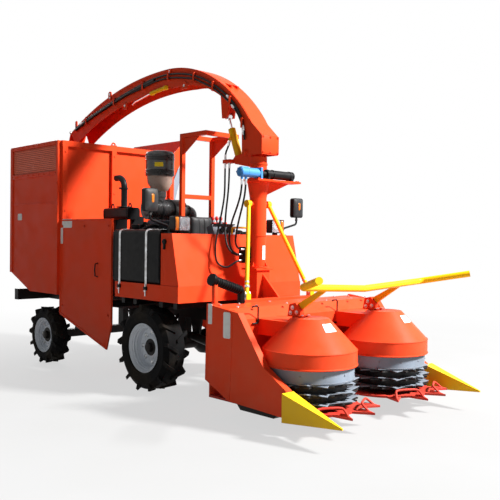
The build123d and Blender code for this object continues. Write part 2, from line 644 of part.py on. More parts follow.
# Operator's seat on its box, and the control console with its levers
SEAT_X = FRONT_AXLE_X - 210.0
SEAT_Y = 60.0
with BuildPart() as seat:
    slab((SEAT_X - 170, SEAT_X + 170), (SEAT_Y - 190, SEAT_Y + 190), (PLATFORM_TOP, 1480))
    slab((SEAT_X - 30, SEAT_X + 230), (SEAT_Y - 200, SEAT_Y + 200), (1480, 1580))
    fillet(seat.edges().filter_by(Axis.Y).group_by(Axis.Z)[-1], 30)
    slab((SEAT_X - 30, SEAT_X + 60), (SEAT_Y - 190, SEAT_Y + 190), (1570, 1930))
    fillet(seat.edges().filter_by(Axis.Y).group_by(Axis.Z)[-1], 30)
save(seat.part, "seat")

CONSOLE_X = FRONT_AXLE_X + 190.0
with BuildPart() as console:
    plate(
        ((CONSOLE_X, PLATFORM_TOP), (CONSOLE_X + 100, PLATFORM_TOP), (CONSOLE_X + 100, 1700),
         (CONSOLE_X + 60, 1830), (CONSOLE_X - 40, 1800), (CONSOLE_X, 1690)),
        -170, 170,
    )
    for y in (-100, -40, 20):
        bar((CONSOLE_X + 10, y, 1800), (CONSOLE_X - 10, y, 1890), 10)
        with Locations((CONSOLE_X - 12, y, 1895)):
            Sphere(18)
save(console.part, "console")

# Work lamps and mirrors on the cowl's corners
LAMP_Y = BODY_HALF - 195.0
with BuildPart() as lamps:
    for side in (1, -1):
        y_mid = side * LAMP_Y
        slab((COWL_REAR_X + 40, COWL_REAR_X + 90), (y_mid - 20, y_mid + 20), (COWL_TOP, COWL_TOP + 30))
        with BuildSketch(Plane.YZ.offset(COWL_REAR_X + 20)):
            with Locations((y_mid, COWL_TOP + 105)):
                RectangleRounded(210, 160, 25)
        extrude(amount=90)
save(lamps.part, "headlamps")

MIRROR_X = COWL_REAR_X + 60
MIRROR_Y = BODY_HALF + 190.0
MIRROR_FOOT_Y = BODY_HALF - 50.0
MIRROR_Z = 2060.0
with BuildPart() as mirrors:
    for side in (1, -1):
        slab((MIRROR_X - 30, MIRROR_X + 30), (side * MIRROR_FOOT_Y - 30, side * MIRROR_FOOT_Y + 30), (COWL_TOP, COWL_TOP + 10))
        with BuildLine() as stalk:
            FilletPolyline(
                (MIRROR_X, side * MIRROR_FOOT_Y, COWL_TOP + 5), (MIRROR_X, side * MIRROR_FOOT_Y, 1800),
                (MIRROR_X, side * MIRROR_Y, 1860), (MIRROR_X, side * MIRROR_Y, 1960), radius=40,
            )
        with BuildSketch(Plane.XY.offset(COWL_TOP + 5)):
            with Locations((MIRROR_X, side * MIRROR_FOOT_Y)):
                Circle(12)
        sweep(path=stalk.line)
        with BuildSketch(Plane.YZ.offset(COWL_REAR_X + 30)):
            with Locations((side * MIRROR_Y, MIRROR_Z)):
                RectangleRounded(170, 240, 30)
        extrude(amount=60)
save(mirrors.part, "mirrors")

# Header back: crop box with arms to the pivot, push-bar brackets and lift-cylinder lugs
ARM_Y = RAIL_Y + RAIL_W / 2 + PIVOT_GAP
ARM_T = 40.0
with BuildPart() as header_back:
    inside = HEADER_HALF - HEADER_SIDE_T
    back_foot = HEADER_FLOOR + HEADER_FLOOR_T
    plate(
        ((HEADER_REAR_X, back_foot), (HEADER_REAR_X, HEADER_TOP),
         (HEADER_REAR_X + COVER_FLAT, HEADER_TOP - COVER_FALL), (HEADER_BACK_FRONT_X, HEADER_TOP - COVER_NOSE),
         (HEADER_BACK_FRONT_X, HOOD_BOTTOM), (HEADER_BACK_FRONT_X - BACK_T, HOOD_BOTTOM),
         (HEADER_BACK_FRONT_X - BACK_T, HEADER_TOP - COVER_NOSE - BACK_T),
         (HEADER_REAR_X + COVER_FLAT, HEADER_TOP - COVER_FALL - BACK_T),
         (HEADER_REAR_X + BACK_T, HEADER_TOP - BACK_T), (HEADER_REAR_X + BACK_T, back_foot)),
        -inside, inside,
    )
    slab((HEADER_REAR_X - 1, HEADER_REAR_X + BACK_T + 1), (-MOUTH_HALF, MOUTH_HALF), MOUTH_Z, mode=Mode.SUBTRACT)
    for side in (1, -1):
        arm_in, arm_out = side * ARM_Y, side * (ARM_Y + ARM_T)
        plate(
            ((PIVOT_X, PIVOT_Z - 50), (HEADER_REAR_X + 5, PIVOT_Z - 90),
             (HEADER_REAR_X + 5, PIVOT_Z + 90), (PIVOT_X, PIVOT_Z + 50)),
            arm_in, arm_out,
        )
        pin(PIVOT_X, PIVOT_Z, arm_in, arm_out, PIVOT_EYE_R - 5)
        pin(PIVOT_X, PIVOT_Z, side * (RAIL_INNER + 2), arm_in + side * 5, PIVOT_PIN_R)
        for lug_y in (LIFT_Y - 60, LIFT_Y + 45):
            plate(
                ((HEADER_REAR_X + 5, LIFT_EYE[1] - 60), (HEADER_REAR_X + 5, LIFT_EYE[1] + 60),
                 (LIFT_EYE[0] - 30, LIFT_EYE[1] + 30), (LIFT_EYE[0] - 30, LIFT_EYE[1] - 30)),
                side * lug_y, side * (lug_y + 15),
            )
        pin(*LIFT_EYE, side * (LIFT_Y - 50), side * (LIFT_Y + 50), LIFT_PIN_R)
save(header_back.part, "header_back")

# Header sides: folded sheet ends with the sloping front edge
SIDE_PROFILE = (
    (FRONT_AXLE_X + 1225, 340), (FRONT_AXLE_X + 1240, 1055), (FRONT_AXLE_X + 1670, 1005),
    (FRONT_AXLE_X + 2000, 560), (FRONT_AXLE_X + 2330, 365), (FRONT_AXLE_X + 2260, 165),
    (FRONT_AXLE_X + 1554, 190),
)
with BuildPart() as header_sides:
    for side in (1, -1):
        plate(SIDE_PROFILE, side * HEADER_HALF, side * (HEADER_HALF - HEADER_SIDE_T))
        shoulder, elbow, toe = (Vector(*SIDE_PROFILE[k]) for k in (2, 3, 4))
        fold_end = elbow + (toe - elbow) * FOLD_SHARE
        drop = Vector(0, -FOLD_T)
        plate(
            (shoulder, elbow, fold_end, fold_end + drop, elbow + drop, shoulder + drop),
            side * HEADER_HALF, side * (HEADER_HALF - FOLD_W),
        )
save(header_sides.part, "header_sides")

# Crop dividers: four-sided points on the ends of the header sides
with BuildPart() as dividers:
    for side in (1, -1):
        with BuildSketch(Plane.YZ.offset(DIVIDER_ROOT_X)) as root:
            with Locations((side * (HEADER_HALF - 5), 268)):
                Rectangle(140, 245)
        with BuildSketch(Plane.YZ.offset(DIVIDER_TIP_X)) as tip:
            with Locations((side * (HEADER_HALF - 5), 195)):
                Rectangle(14, 14)
        loft(sections=[root.sketch, tip.sketch])
    for side in (1, -1):
        plate(
            SIDE_PROFILE, side * (HEADER_HALF + SIDE_PLAY), side * (HEADER_HALF - HEADER_SIDE_T - SIDE_PLAY),
            mode=Mode.SUBTRACT,
        )
save(dividers.part, "dividers")

# Header floor pan with pointed stalk guards in front of each drum
GUARD_ANGLES = (-42.0, -14.0, 14.0, 42.0)
GUARD_ROOT_R = 430.0
GUARD_TIP_R = 640.0
with BuildPart() as header_pan:
    slab(
        (HEADER_REAR_X, DRUM_X), (-HEADER_HALF + HEADER_SIDE_T, HEADER_HALF - HEADER_SIDE_T),
        (HEADER_FLOOR, HEADER_FLOOR + HEADER_FLOOR_T),
    )
    for side in (1, -1):
        centre = Vector(DRUM_X, side * DRUM_Y)
        with BuildSketch(Plane.XY.offset(HEADER_FLOOR)):
            with Locations(centre):
                Circle(TOOTH_R + 20)
            for angle in GUARD_ANGLES:
                with BuildLine():
                    Polyline(
                        centre + Vector(GUARD_ROOT_R, 0).rotate(Axis.Z, angle - 11),
                        centre + Vector(GUARD_TIP_R, 0).rotate(Axis.Z, angle),
                        centre + Vector(GUARD_ROOT_R, 0).rotate(Axis.Z, angle + 11),
                        close=True,
                    )
                make_face()
        extrude(amount=HEADER_FLOOR_T)
        with BuildSketch(Plane.XY.offset(HEADER_FLOOR + HEADER_FLOOR_T)):
            with Locations(centre):
                Circle(DRUM_SHAFT_R - RUN_FIT)
        extrude(amount=HOOD_TOP - HEADER_FLOOR - HEADER_FLOOR_T - 60)
save(header_pan.part, "header_pan")

# Drum hoods: hollow cones with a skirt, each on an arm from the header back
with BuildPart() as hoods:
    for side in (1, -1):
        y_mid = side * DRUM_Y
        slab((HEADER_BACK_FRONT_X, DRUM_X), (y_mid - 190, y_mid + 190), (780, HEADER_TOP - 112))
        with BuildSketch(side_plane(y_mid)):
            with BuildLine():
                Polyline(
                    (DRUM_X, HOOD_TOP), (DRUM_X + HOOD_TOP_R, HOOD_TOP), (DRUM_X + HOOD_R, HOOD_EDGE),
                    (DRUM_X + HOOD_R, HOOD_BOTTOM), (DRUM_X, HOOD_BOTTOM), close=True,
                )
            make_face()
        revolve(axis=Axis((DRUM_X, y_mid, 0), (0, 0, 1)))
    for side in (1, -1):
        y_mid = side * DRUM_Y
        with BuildSketch(side_plane(y_mid)):
            with BuildLine():
                Polyline(
                    (DRUM_X, HOOD_TOP - 40), (DRUM_X + HOOD_TOP_R - 5, HOOD_TOP - 40),
                    (DRUM_X + HOOD_R - HOOD_T, HOOD_EDGE - 30), (DRUM_X + HOOD_R - HOOD_T, HOOD_BOTTOM),
                    (DRUM_X, HOOD_BOTTOM), close=True,
                )
            make_face()
        revolve(axis=Axis((DRUM_X, y_mid, 0), (0, 0, 1)), mode=Mode.SUBTRACT)
save(hoods.part, "drum_hoods")

# Gathering drums: banded core with three toothed discs, running on the pan's post
for name, side, lean in (("right", -1, TOOTH_LEAN), ("left", 1, 1 - TOOTH_LEAN)):
    y_mid = side * DRUM_Y
    with BuildPart() as drum:
        with BuildSketch(side_plane(y_mid)):
            with BuildLine():
                Polyline(
                    (DRUM_X + DRUM_SHAFT_R, DRUM_BOTTOM), (DRUM_X + CORE_R, DRUM_BOTTOM), (DRUM_X + CORE_R, BAND_FOOT),
                    (DRUM_X + BAND_R, BAND_FOOT), (DRUM_X + BAND_R, BAND_TOP), (DRUM_X + 200, DRUM_TOP),
                    (DRUM_X + DRUM_SHAFT_R, DRUM_TOP), (DRUM_X + DRUM_SHAFT_R, DRUM_TOP - DRUM_T),
                    (DRUM_X + 200 - DRUM_T / 2, DRUM_TOP - DRUM_T), (DRUM_X + BAND_R - DRUM_T, BAND_TOP - DRUM_T),
                    (DRUM_X + BAND_R - DRUM_T, BAND_FOOT + DRUM_T), (DRUM_X + CORE_R - DRUM_T, BAND_FOOT + DRUM_T),
                    (DRUM_X + CORE_R - DRUM_T, DRUM_BOTTOM + DRUM_T), (DRUM_X + DRUM_SHAFT_R, DRUM_BOTTOM + DRUM_T),
                    close=True,
                )
            make_face()
        revolve(axis=Axis((DRUM_X, y_mid, 0), (0, 0, 1)))
        for level in DISC_Z:
            with BuildSketch(Plane.XY.offset(level)):
                with BuildLine():
                    corners = []
                    for k in range(TEETH):
                        root = Vector(TOOTH_ROOT_R, 0).rotate(Axis.Z, k * 360 / TEETH)
                        tooth = Vector(TOOTH_R, 0).rotate(Axis.Z, (k + lean) * 360 / TEETH)
                        corners += [root + Vector(DRUM_X, y_mid), tooth + Vector(DRUM_X, y_mid)]
                    Polyline(*corners, close=True)
                make_face()
                with Locations((DRUM_X, y_mid)):
                    Circle(CORE_R - DRUM_T / 2, mode=Mode.SUBTRACT)
            extrude(amount=DISC_T)
    save(drum.part, f"drum_{name}")

# Push bar: bent tube in front of the hoods on two flat arms and their brackets
BAR_R = 32.0
BAR_X = DRUM_X + 185.0
BRACKET_Z = HOOD_TOP
with BuildPart() as push_bar:
    with BuildLine() as bar_path:
        FilletPolyline(
            (DRUM_X + 610, -1165, 1350), (BAR_X + 10, -900, 1262), (BAR_X - 15, 0, 1218),
            (BAR_X + 10, 900, 1262), (DRUM_X + 610, 1165, 1350), radius=90,
        )
    with BuildSketch(Plane(origin=bar_path.line @ 0, z_dir=bar_path.line % 0)):
        Circle(BAR_R)
    sweep(path=bar_path.line)
    for side in (1, -1):
        y_mid = side * DRUM_Y
        plate(
            ((BAR_X - 45, 1235), (BAR_X + 10, 1225), (DRUM_X - 130, 1010), (DRUM_X - 190, 1060)),
            y_mid - 12, y_mid + 12,
        )
        plate(
            ((DRUM_X - 240, BRACKET_Z), (DRUM_X - 90, BRACKET_Z), (DRUM_X - 90, 1030),
             (DRUM_X - 150, 1090), (DRUM_X - 220, 1070)),
            y_mid - 40, y_mid + 10,
        )
        slab((DRUM_X - 165, DRUM_X - 80), (y_mid - 60, y_mid + 60), (HOOD_TOP, HOOD_TOP + 14))
save(push_bar.part, "push_bar")

# Skids under the header floor
with BuildPart() as skids:
    for side in (1, -1):
        y_mid = side * (HEADER_HALF - 200)
        plate(
            ((HEADER_REAR_X + 250, HEADER_FLOOR), (HEADER_REAR_X + 330, 90), (HEADER_REAR_X + 760, 90),
             (HEADER_REAR_X + 860, HEADER_FLOOR)),
            y_mid - 60, y_mid + 60,
        )
save(skids.part, "header_skids")

# Chopper housing between the rails, with the chimney for the pillar and the beam for its stays
CHOPPER_MOUTH_X = HEADER_REAR_X - 20.0
EAR_T = 20.0
BEAM_X = FRONT_AXLE_X + 1150.0
BEAM_W = 70.0
BEAM_Z = (1015.0, 1060.0)
BEAM_Y = (-530.0, 545.0)
with BuildPart() as chopper:
    pin(CHOPPER_X, CHOPPER_Z, -CHOPPER_HALF, CHOPPER_HALF, CHOPPER_R)
    slab((CHOPPER_X, CHOPPER_MOUTH_X), (-CHOPPER_HALF, CHOPPER_HALF), (430, 870))
    slab((PILLAR_X - 75, PILLAR_X + 95), (-95, 95), (CHOPPER_Z, PILLAR_BASE))
    slab((PILLAR_X - 120, PILLAR_X + 120), (-125, 125), (PILLAR_BASE - 20, PILLAR_BASE))
    plate(
        ((PILLAR_X + 90, 860), (BEAM_X, 860), (BEAM_X, BEAM_Z[1]), (PILLAR_X + 90, 1300)),
        -10, 10,
    )
    slab((BEAM_X - BEAM_W / 2, BEAM_X + BEAM_W / 2), BEAM_Y, BEAM_Z)
    for side in (1, -1):
        slab(
            (BEAM_X - BEAM_W / 2, BEAM_X + BEAM_W / 2), (side * 230 - 40, side * 230 + 40),
            (860, BEAM_Z[0]),
        )
        plate(
            ((RAIL_FRONT_X - 80, RAIL_TOP - 130), (RAIL_FRONT_X - 80, RAIL_TOP - 10),
             (CHOPPER_X - 160, RAIL_TOP - 10), (CHOPPER_X, CHOPPER_Z + CHOPPER_R),
             (CHOPPER_X, CHOPPER_Z), (CHOPPER_X - 150, CHOPPER_Z)),
            side * RAIL_INNER, side * (RAIL_INNER - EAR_T),
        )
save(chopper.part, "chopper_housing")

# Pillar: pipe with a base flange, the slew bracket at its top and the hoses' end block
STAY_HEAD_Z = SLEW_Z - 255.0
BLOCK_X = (PILLAR_X - 135.0, PILLAR_X - 10.0)
BLOCK_Y = -150.0
BLOCK_Z = (1412.0, 1584.0)
with BuildPart() as pillar:
    with BuildSketch(side_plane(0)):
        with BuildLine():
            Polyline(
                (PILLAR_X, PILLAR_BASE), (PILLAR_X + 125, PILLAR_BASE), (PILLAR_X + 125, PILLAR_BASE + 20),
                (PILLAR_X + PILLAR_R, PILLAR_BASE + 20), (PILLAR_X + PILLAR_R, SLEW_Z - 190),
                (PILLAR_X + 120, SLEW_Z - 20), (PILLAR_X + 135, SLEW_Z - 20), (PILLAR_X + 135, SLEW_Z),
                (PILLAR_X, SLEW_Z), close=True,
            )
        make_face()
    revolve(axis=Axis((PILLAR_X, 0, 0), (0, 0, 1)))
    slab((PILLAR_X, SLEW_DRIVE_X + 60), (-220, 440), (SLEW_Z - 20, SLEW_Z))
    with BuildSketch(Plane.YZ.offset(PILLAR_X + 60)):
        with BuildLine():
            Polyline((0, SLEW_Z - 160), (60, SLEW_Z - 150), (400, SLEW_Z - 15), (0, SLEW_Z - 15), close=True)
        make_face()
    extrude(amount=25)
    bar((PILLAR_X, -125, STAY_HEAD_Z), (PILLAR_X, 125, STAY_HEAD_Z), 25)
    slab(BLOCK_X, (BLOCK_Y, -60), BLOCK_Z)
save(pillar.part, "pillar")

# Stays from the pillar's cross pin to clevises on the chopper's beam
STAYS = (
    # side, foot y
    (-1, -477.0),
    (1, 491.0),
)
STAY_R = 22.0
CLEVIS_H = 60.0
with BuildPart() as stays:
    for side, foot_y in STAYS:
        head = (PILLAR_X + 10, side * 150.0, STAY_HEAD_Z)
        foot = (BEAM_X, foot_y, BEAM_Z[1] + CLEVIS_H / 2)
        bar(head, foot, STAY_R)
        pin(PILLAR_X, STAY_HEAD_Z, side * 126, side * 175, 40)
        slab((BEAM_X - 32, BEAM_X + 32), (foot_y - 30, foot_y + 30), (BEAM_Z[1] + SIDE_PLAY, BEAM_Z[1] + CLEVIS_H))
    slab(
        (BEAM_X - 100, BEAM_X + 100), BEAM_Y, (BEAM_Z[0], BEAM_Z[1] + SIDE_PLAY), mode=Mode.SUBTRACT,
    )
save(stays.part, "pillar_stays")

# Slew drive: hydraulic motor and worm housing lying on the bracket
DRIVE_Z = SLEW_Z + SLEW_DRIVE_R + 8.0
MOTOR_PORT_Y = (-400.0, -345.0)
MOTOR_PORT_Z = SLEW_Z - 15.0
PORT_R = 14.0
with BuildPart() as slew_motor:
    pin(SLEW_DRIVE_X, DRIVE_Z, -430, -150, SLEW_DRIVE_R)
    slab((SLEW_DRIVE_X - 55, SLEW_DRIVE_X + 55), (-175, -150), (SLEW_Z, DRIVE_Z + 60))
    for port_y in MOTOR_PORT_Y:
        bar((SLEW_DRIVE_X, port_y, DRIVE_Z), (SLEW_DRIVE_X, port_y, MOTOR_PORT_Z), PORT_R)
save(slew_motor.part, "slew_motor")

with BuildPart() as slew_gear:
    pin(SLEW_DRIVE_X, DRIVE_Z, -150, -60, SLEW_DRIVE_R - 20)
    pin(SLEW_DRIVE_X, DRIVE_Z, -60, 350, SLEW_DRIVE_R - 2)
    for y in (-40, 320):
        slab((SLEW_DRIVE_X - 45, SLEW_DRIVE_X + 45), (y - 15, y + 15), (SLEW_Z, DRIVE_Z))
save(slew_gear.part, "slew_gear")

# Turret: turning pipe with the spout hinge, the cylinder foot and a lug for the hose unions
LUG_X = PILLAR_X - 431.0
LUG_Z = (SLEW_Z + 205.0, SLEW_Z + 245.0)
with BuildPart() as turret:
    with BuildSketch(side_plane(0)):
        with BuildLine():
            Polyline(
                (PILLAR_X, SLEW_Z + SIDE_PLAY), (PILLAR_X + 105, SLEW_Z + SIDE_PLAY),
                (PILLAR_X + 105, SLEW_Z + 30), (PILLAR_X + PILLAR_R, SLEW_Z + 30),
                (PILLAR_X + PILLAR_R, TURRET_TOP), (PILLAR_X, TURRET_TOP), close=True,
            )
        make_face()
    revolve(axis=Axis((PILLAR_X, 0, 0), (0, 0, 1)))
    plate(
        ((PILLAR_X - 20, SLEW_Z + 140), (CYLINDER_FOOT[0], CYLINDER_FOOT[1] - 45),
         (CYLINDER_FOOT[0] - 45, CYLINDER_FOOT[1]), (CYLINDER_FOOT[0], CYLINDER_FOOT[1] + 45),
         (SPOUT_HINGE[0] - 60, SPOUT_HINGE[1]), (SPOUT_HINGE[0], SPOUT_HINGE[1] + HINGE_R),
         (SPOUT_HINGE[0] + HINGE_R, SPOUT_HINGE[1]), (PILLAR_X - 20, TURRET_TOP)),
        -75, 75,
    )
    plate(
        ((CYLINDER_FOOT[0] - 90, CYLINDER_FOOT[1] - 90), (CYLINDER_FOOT[0] + 75, CYLINDER_FOOT[1] - 90),
         (CYLINDER_FOOT[0] + 75, CYLINDER_FOOT[1] + 120), (CYLINDER_FOOT[0] - 90, CYLINDER_FOOT[1] + 120)),
        -50, 50, mode=Mode.SUBTRACT,
    )
    slab((LUG_X, CYLINDER_FOOT[0] - 15), (-140, -60), LUG_Z)
    pin(*CYLINDER_FOOT, -75, 75, LIFT_PIN_R)
    pin(*SPOUT_HINGE, -SPOUT_W / 2 - 25, SPOUT_W / 2 + 25, LIFT_PIN_R)
save(turret.part, "turret")

# Spout: inverted channel of two arched side plates under a curved top sheet
OUTER_APEX = (FRONT_AXLE_X - 700.0, SLEW_Z + 1425.0)
OUTER_KNEE = (FRONT_AXLE_X + 824.0, SLEW_Z + 617.0)
OUTER_LIP = (FRONT_AXLE_X + 979.0, SLEW_Z + 474.0)
OUTER_FOOT = (FRONT_AXLE_X + 983.0, SLEW_Z + 270.0)
OUTER_END = (FRONT_AXLE_X - 2950.0, SLEW_Z + 870.0)
INNER_APEX = (FRONT_AXLE_X - 390.0, SLEW_Z + 1175.0)
INNER_KNEE = (FRONT_AXLE_X + 667.0, SLEW_Z + 634.0)
INNER_MID = (FRONT_AXLE_X - 1662.0, SLEW_Z + 1090.0)
INNER_END = (FRONT_AXLE_X - 2838.0, SLEW_Z + 670.0)
INNER_FOOT = (SPOUT_HINGE[0] - 60.0, OUTER_FOOT[1])


def spout_outline():
    """Arched outline of a spout side plate, drawn from the outlet round to the foot."""
    with BuildLine() as outline:
        TangentArc(OUTER_APEX, OUTER_END, tangent=(-1, 0))
        TangentArc(OUTER_APEX, OUTER_KNEE, tangent=(1, 0))
        Polyline(OUTER_KNEE, OUTER_LIP, OUTER_FOOT, INNER_FOOT, INNER_KNEE)
        TangentArc(INNER_APEX, INNER_KNEE, tangent=(1, 0))
        ThreePointArc(INNER_APEX, INNER_MID, INNER_END)
        Line(INNER_END, OUTER_END)
    return outline


with BuildPart() as spout_sides:
    for side in (1, -1):
        with BuildSketch(side_plane(side * SPOUT_W / 2)):
            add(spout_outline().line)
            make_face()
            with Locations(SPOUT_HINGE):
                Circle(LIFT_PIN_R + RUN_FIT, mode=Mode.SUBTRACT)
        extrude(amount=side * SPOUT_T)
save(spout_sides.part, "spout_sides")

with BuildPart() as spout_top:
    with BuildSketch(side_plane(-SPOUT_W / 2 + SPOUT_T)):
        with BuildLine():
            TangentArc(OUTER_APEX, OUTER_END, tangent=(-1, 0))
            TangentArc(OUTER_APEX, OUTER_KNEE, tangent=(1, 0))
            Polyline(OUTER_KNEE, OUTER_LIP, OUTER_FOOT)
            Line(OUTER_FOOT, (OUTER_FOOT[0] - SPOUT_T, OUTER_FOOT[1]))
            Polyline(
                (OUTER_FOOT[0] - SPOUT_T, OUTER_FOOT[1]), (OUTER_LIP[0] - SPOUT_T, OUTER_LIP[1] - 4),
                (OUTER_KNEE[0] - SPOUT_T, OUTER_KNEE[1] - SPOUT_T),
            )
            apex_below = (OUTER_APEX[0], OUTER_APEX[1] - SPOUT_T)
            end_below = (OUTER_END[0] + 4, OUTER_END[1] - SPOUT_T)
            TangentArc(apex_below, (OUTER_KNEE[0] - SPOUT_T, OUTER_KNEE[1] - SPOUT_T), tangent=(1, 0))
            TangentArc(apex_below, end_below, tangent=(-1, 0))
            Line(end_below, OUTER_END)
        make_face()
    extrude(amount=-(SPOUT_W - 2 * SPOUT_T))
    head_ears = (-58.0, 38.0)
    for ear in head_ears:
        plate(
            ((CYLINDER_HEAD[0] - 45, CYLINDER_HEAD[1] - 25), (CYLINDER_HEAD[0] + 45, CYLINDER_HEAD[1] - 25),
             (CYLINDER_HEAD[0] + 110, CYLINDER_HEAD[1] + 330), (CYLINDER_HEAD[0] - 90, CYLINDER_HEAD[1] + 400)),
            ear, ear + 20,
        )
    pin(*CYLINDER_HEAD, -58, 58, LIFT_PIN_R)
save(spout_top.part, "spout_top")

# Spout flap: deflector plate hinged at the outlet's upper edge
FLAP_PIN = (OUTER_END[0] - 14.2, OUTER_END[1] + 2.0)
with BuildPart() as flap:
    plate(
        ((FLAP_PIN[0] - 12, FLAP_PIN[1]), (FLAP_PIN[0] + 12, FLAP_PIN[1]),
         (FLAP_PIN[0] - 98, FLAP_PIN[1] - FLAP_L + 30), (FLAP_PIN[0] - 110, FLAP_PIN[1] - FLAP_L + 32)),
        -SPOUT_W / 2, SPOUT_W / 2,
    )
    pin(*FLAP_PIN, -SPOUT_W / 2, SPOUT_W / 2, 14)
save(flap.part, "spout_flap")


# Hydraulic cylinders: a barrel on its foot pin and a rod that ends in an eye on its head pin
def cylinder_barrel(foot, head, y_mid, length, radius, width):
    """Barrel with its foot eye, drawn along the line from foot to head."""
    reach = hypot(head[0] - foot[0], head[1] - foot[1])
    along = ((head[0] - foot[0]) / reach, (head[1] - foot[1]) / reach)
    start = (foot[0], y_mid, foot[1])
    end = (foot[0] + along[0] * length, y_mid, foot[1] + along[1] * length)
    bar(start, end, radius)
    pin(*foot, y_mid - width / 2, y_mid + width / 2, LIFT_EYE_R)
    cut = max(width / 2, radius) + 2
    pin(*foot, y_mid - cut, y_mid + cut, LIFT_PIN_R + RUN_FIT, mode=Mode.SUBTRACT)


def cylinder_bore(foot, head, y_mid, start_at, length, radius):
    """Blind bore in the barrel for the rod."""
    reach = hypot(head[0] - foot[0], head[1] - foot[1])
    along = Vector((head[0] - foot[0]) / reach, 0, (head[1] - foot[1]) / reach)
    origin = Vector(foot[0], y_mid, foot[1]) + along * start_at
    with BuildSketch(Plane(origin=origin, z_dir=along)) as section:
        Circle(radius)
    extrude(section.sketch, amount=length - start_at, mode=Mode.SUBTRACT)


def cylinder_rod(foot, head, y_mid, start_at, radius, width, eye_clear=EYE_CLEAR):
    """Rod with the eye that rides on the head pin."""
    reach = hypot(head[0] - foot[0], head[1] - foot[1])
    along = Vector((head[0] - foot[0]) / reach, 0, (head[1] - foot[1]) / reach)
    origin = Vector(foot[0], y_mid, foot[1])
    bar(tuple(origin + along * start_at), tuple(origin + along * reach), radius)
    pin(*head, y_mid - width / 2, y_mid + width / 2, LIFT_EYE_R - 4)
    pin(*head, y_mid - width / 2, y_mid + width / 2, LIFT_PIN_R + eye_clear, mode=Mode.SUBTRACT)


LIFT_EYE_W = 70.0
LIFT_ROD_START = 300.0
with BuildPart() as lift_barrels:
    for side in (1, -1):
        cylinder_barrel(LIFT_FOOT, LIFT_EYE, side * LIFT_Y, LIFT_BARREL_L, LIFT_BARREL_R, LIFT_EYE_W)
        cylinder_bore(LIFT_FOOT, LIFT_EYE, side * LIFT_Y, 100, LIFT_BARREL_L, LIFT_ROD_R + RUN_FIT)
save(lift_barrels.part, "lift_barrels")

with BuildPart() as lift_rods:
    for side in (1, -1):
        cylinder_rod(LIFT_FOOT, LIFT_EYE, side * LIFT_Y, LIFT_ROD_START, LIFT_ROD_R, LIFT_EYE_W)
save(lift_rods.part, "lift_rods")

SPOUT_EYE_W = 60.0
SPOUT_BARREL_L = 390.0
SPOUT_ROD_R = 20.0
SPOUT_EYE_CLEAR = 3.2
PORT_ELBOW = (PILLAR_X - 400.0, -58.0, SLEW_Z + 500.0)
UPPER_PORT = (PORT_ELBOW, (PILLAR_X - 403.0, -66.0, SLEW_Z + 460.0))
with BuildPart() as spout_barrel:
    cylinder_barrel(CYLINDER_FOOT, CYLINDER_HEAD, 0, SPOUT_BARREL_L, 42.0, SPOUT_EYE_W)
    bar(UPPER_PORT[0], UPPER_PORT[1], PORT_R)
    bar((PORT_ELBOW[0], 0, PORT_ELBOW[2]), PORT_ELBOW, PORT_R)
    cylinder_bore(CYLINDER_FOOT, CYLINDER_HEAD, 0, 60, SPOUT_BARREL_L, SPOUT_ROD_R + RUN_FIT)
save(spout_barrel.part, "spout_barrel")

with BuildPart() as spout_rod:
    cylinder_rod(CYLINDER_FOOT, CYLINDER_HEAD, 0, 190, SPOUT_ROD_R, SPOUT_EYE_W, SPOUT_EYE_CLEAR)
save(spout_rod.part, "spout_rod")

# Hydraulic hoses: plain tubes along their routes, each point (x from the front axle, y, z)
HOSE_R = 10.0
BEND_SHARE = 0.45
HOSES = {
    "hose_spout_upper": (
        (408, -66, 2765), (403.125, -79, 2700), (400, -120, 2622), (400, -120, 2550),
    ),
    "hose_spout_a": (
        (400, -120, 2510), (400, -120, 2355), (438, -155, 2150), (492, -250, 1925), (545, -355, 1725),
        (592, -425, 1545), (645, -440, 1400), (705, -340, 1352), (738, -235, 1440), (738, -150, 1440),
    ),
    "hose_spout_b": (
        (470, -120, 2510), (470, -120, 2360), (495, -155, 2165), (540, -228, 1955), (600, -292, 1745),
        (668, -318, 1575), (705, -235, 1492), (705, -150, 1492),
    ),
    "hose_motor_a": (
        (976, -400, 2290), (976, -400, 2170), (905, -392, 2010), (790, -372, 1840), (722, -345, 1680),
        (715, -305, 1550), (738, -230, 1500), (738, -150, 1500),
    ),
    "hose_motor_b": (
        (976, -345, 2290), (976, -345, 2180), (925, -335, 2030), (850, -318, 1870), (798, -308, 1730),
        (778, -300, 1620), (766, -235, 1555), (766, -150, 1555),
    ),
}
for name, route in HOSES.items():
    points = [Vector(FRONT_AXLE_X + x, y, z) for x, y, z in route]
    runs = [after - before for before, after in zip(points, points[1:])]
    radii = [
        BEND_SHARE * min(one.length, two.length) / tan(radians(one.get_angle(two)) / 2)
        for one, two in zip(runs, runs[1:])
    ]
    with BuildPart() as hose:
        with BuildLine() as hose_path:
            FilletPolyline(*points, radius=radii)
        with BuildSketch(Plane(origin=points[0], z_dir=runs[0])):
            Circle(HOSE_R)
        sweep(path=hose_path.line)
    print(name, "bend radii", [round(radius) for radius in radii], "length", round(hose_path.wire().length))
    save(hose.part, name)
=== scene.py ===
# %% [markdown]
# # Dressing a maize harvester
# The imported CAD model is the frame: every solid is at its real place and moves with its body.
# This lesson adds the finish of each surface, the hoses, and the small pieces that a maker bolts
# on last, such as lamps, straps, clamps, plates and bolts. +X is forward, +Y is the machine's left
# and +Z is up. Pieces are drawn in millimetres, with x counted from the front axle, and become metres
# when their mesh is made.

# %% Load the frame
import json
import bmesh
import bpy
import numpy as np
from mathutils import Matrix, Vector


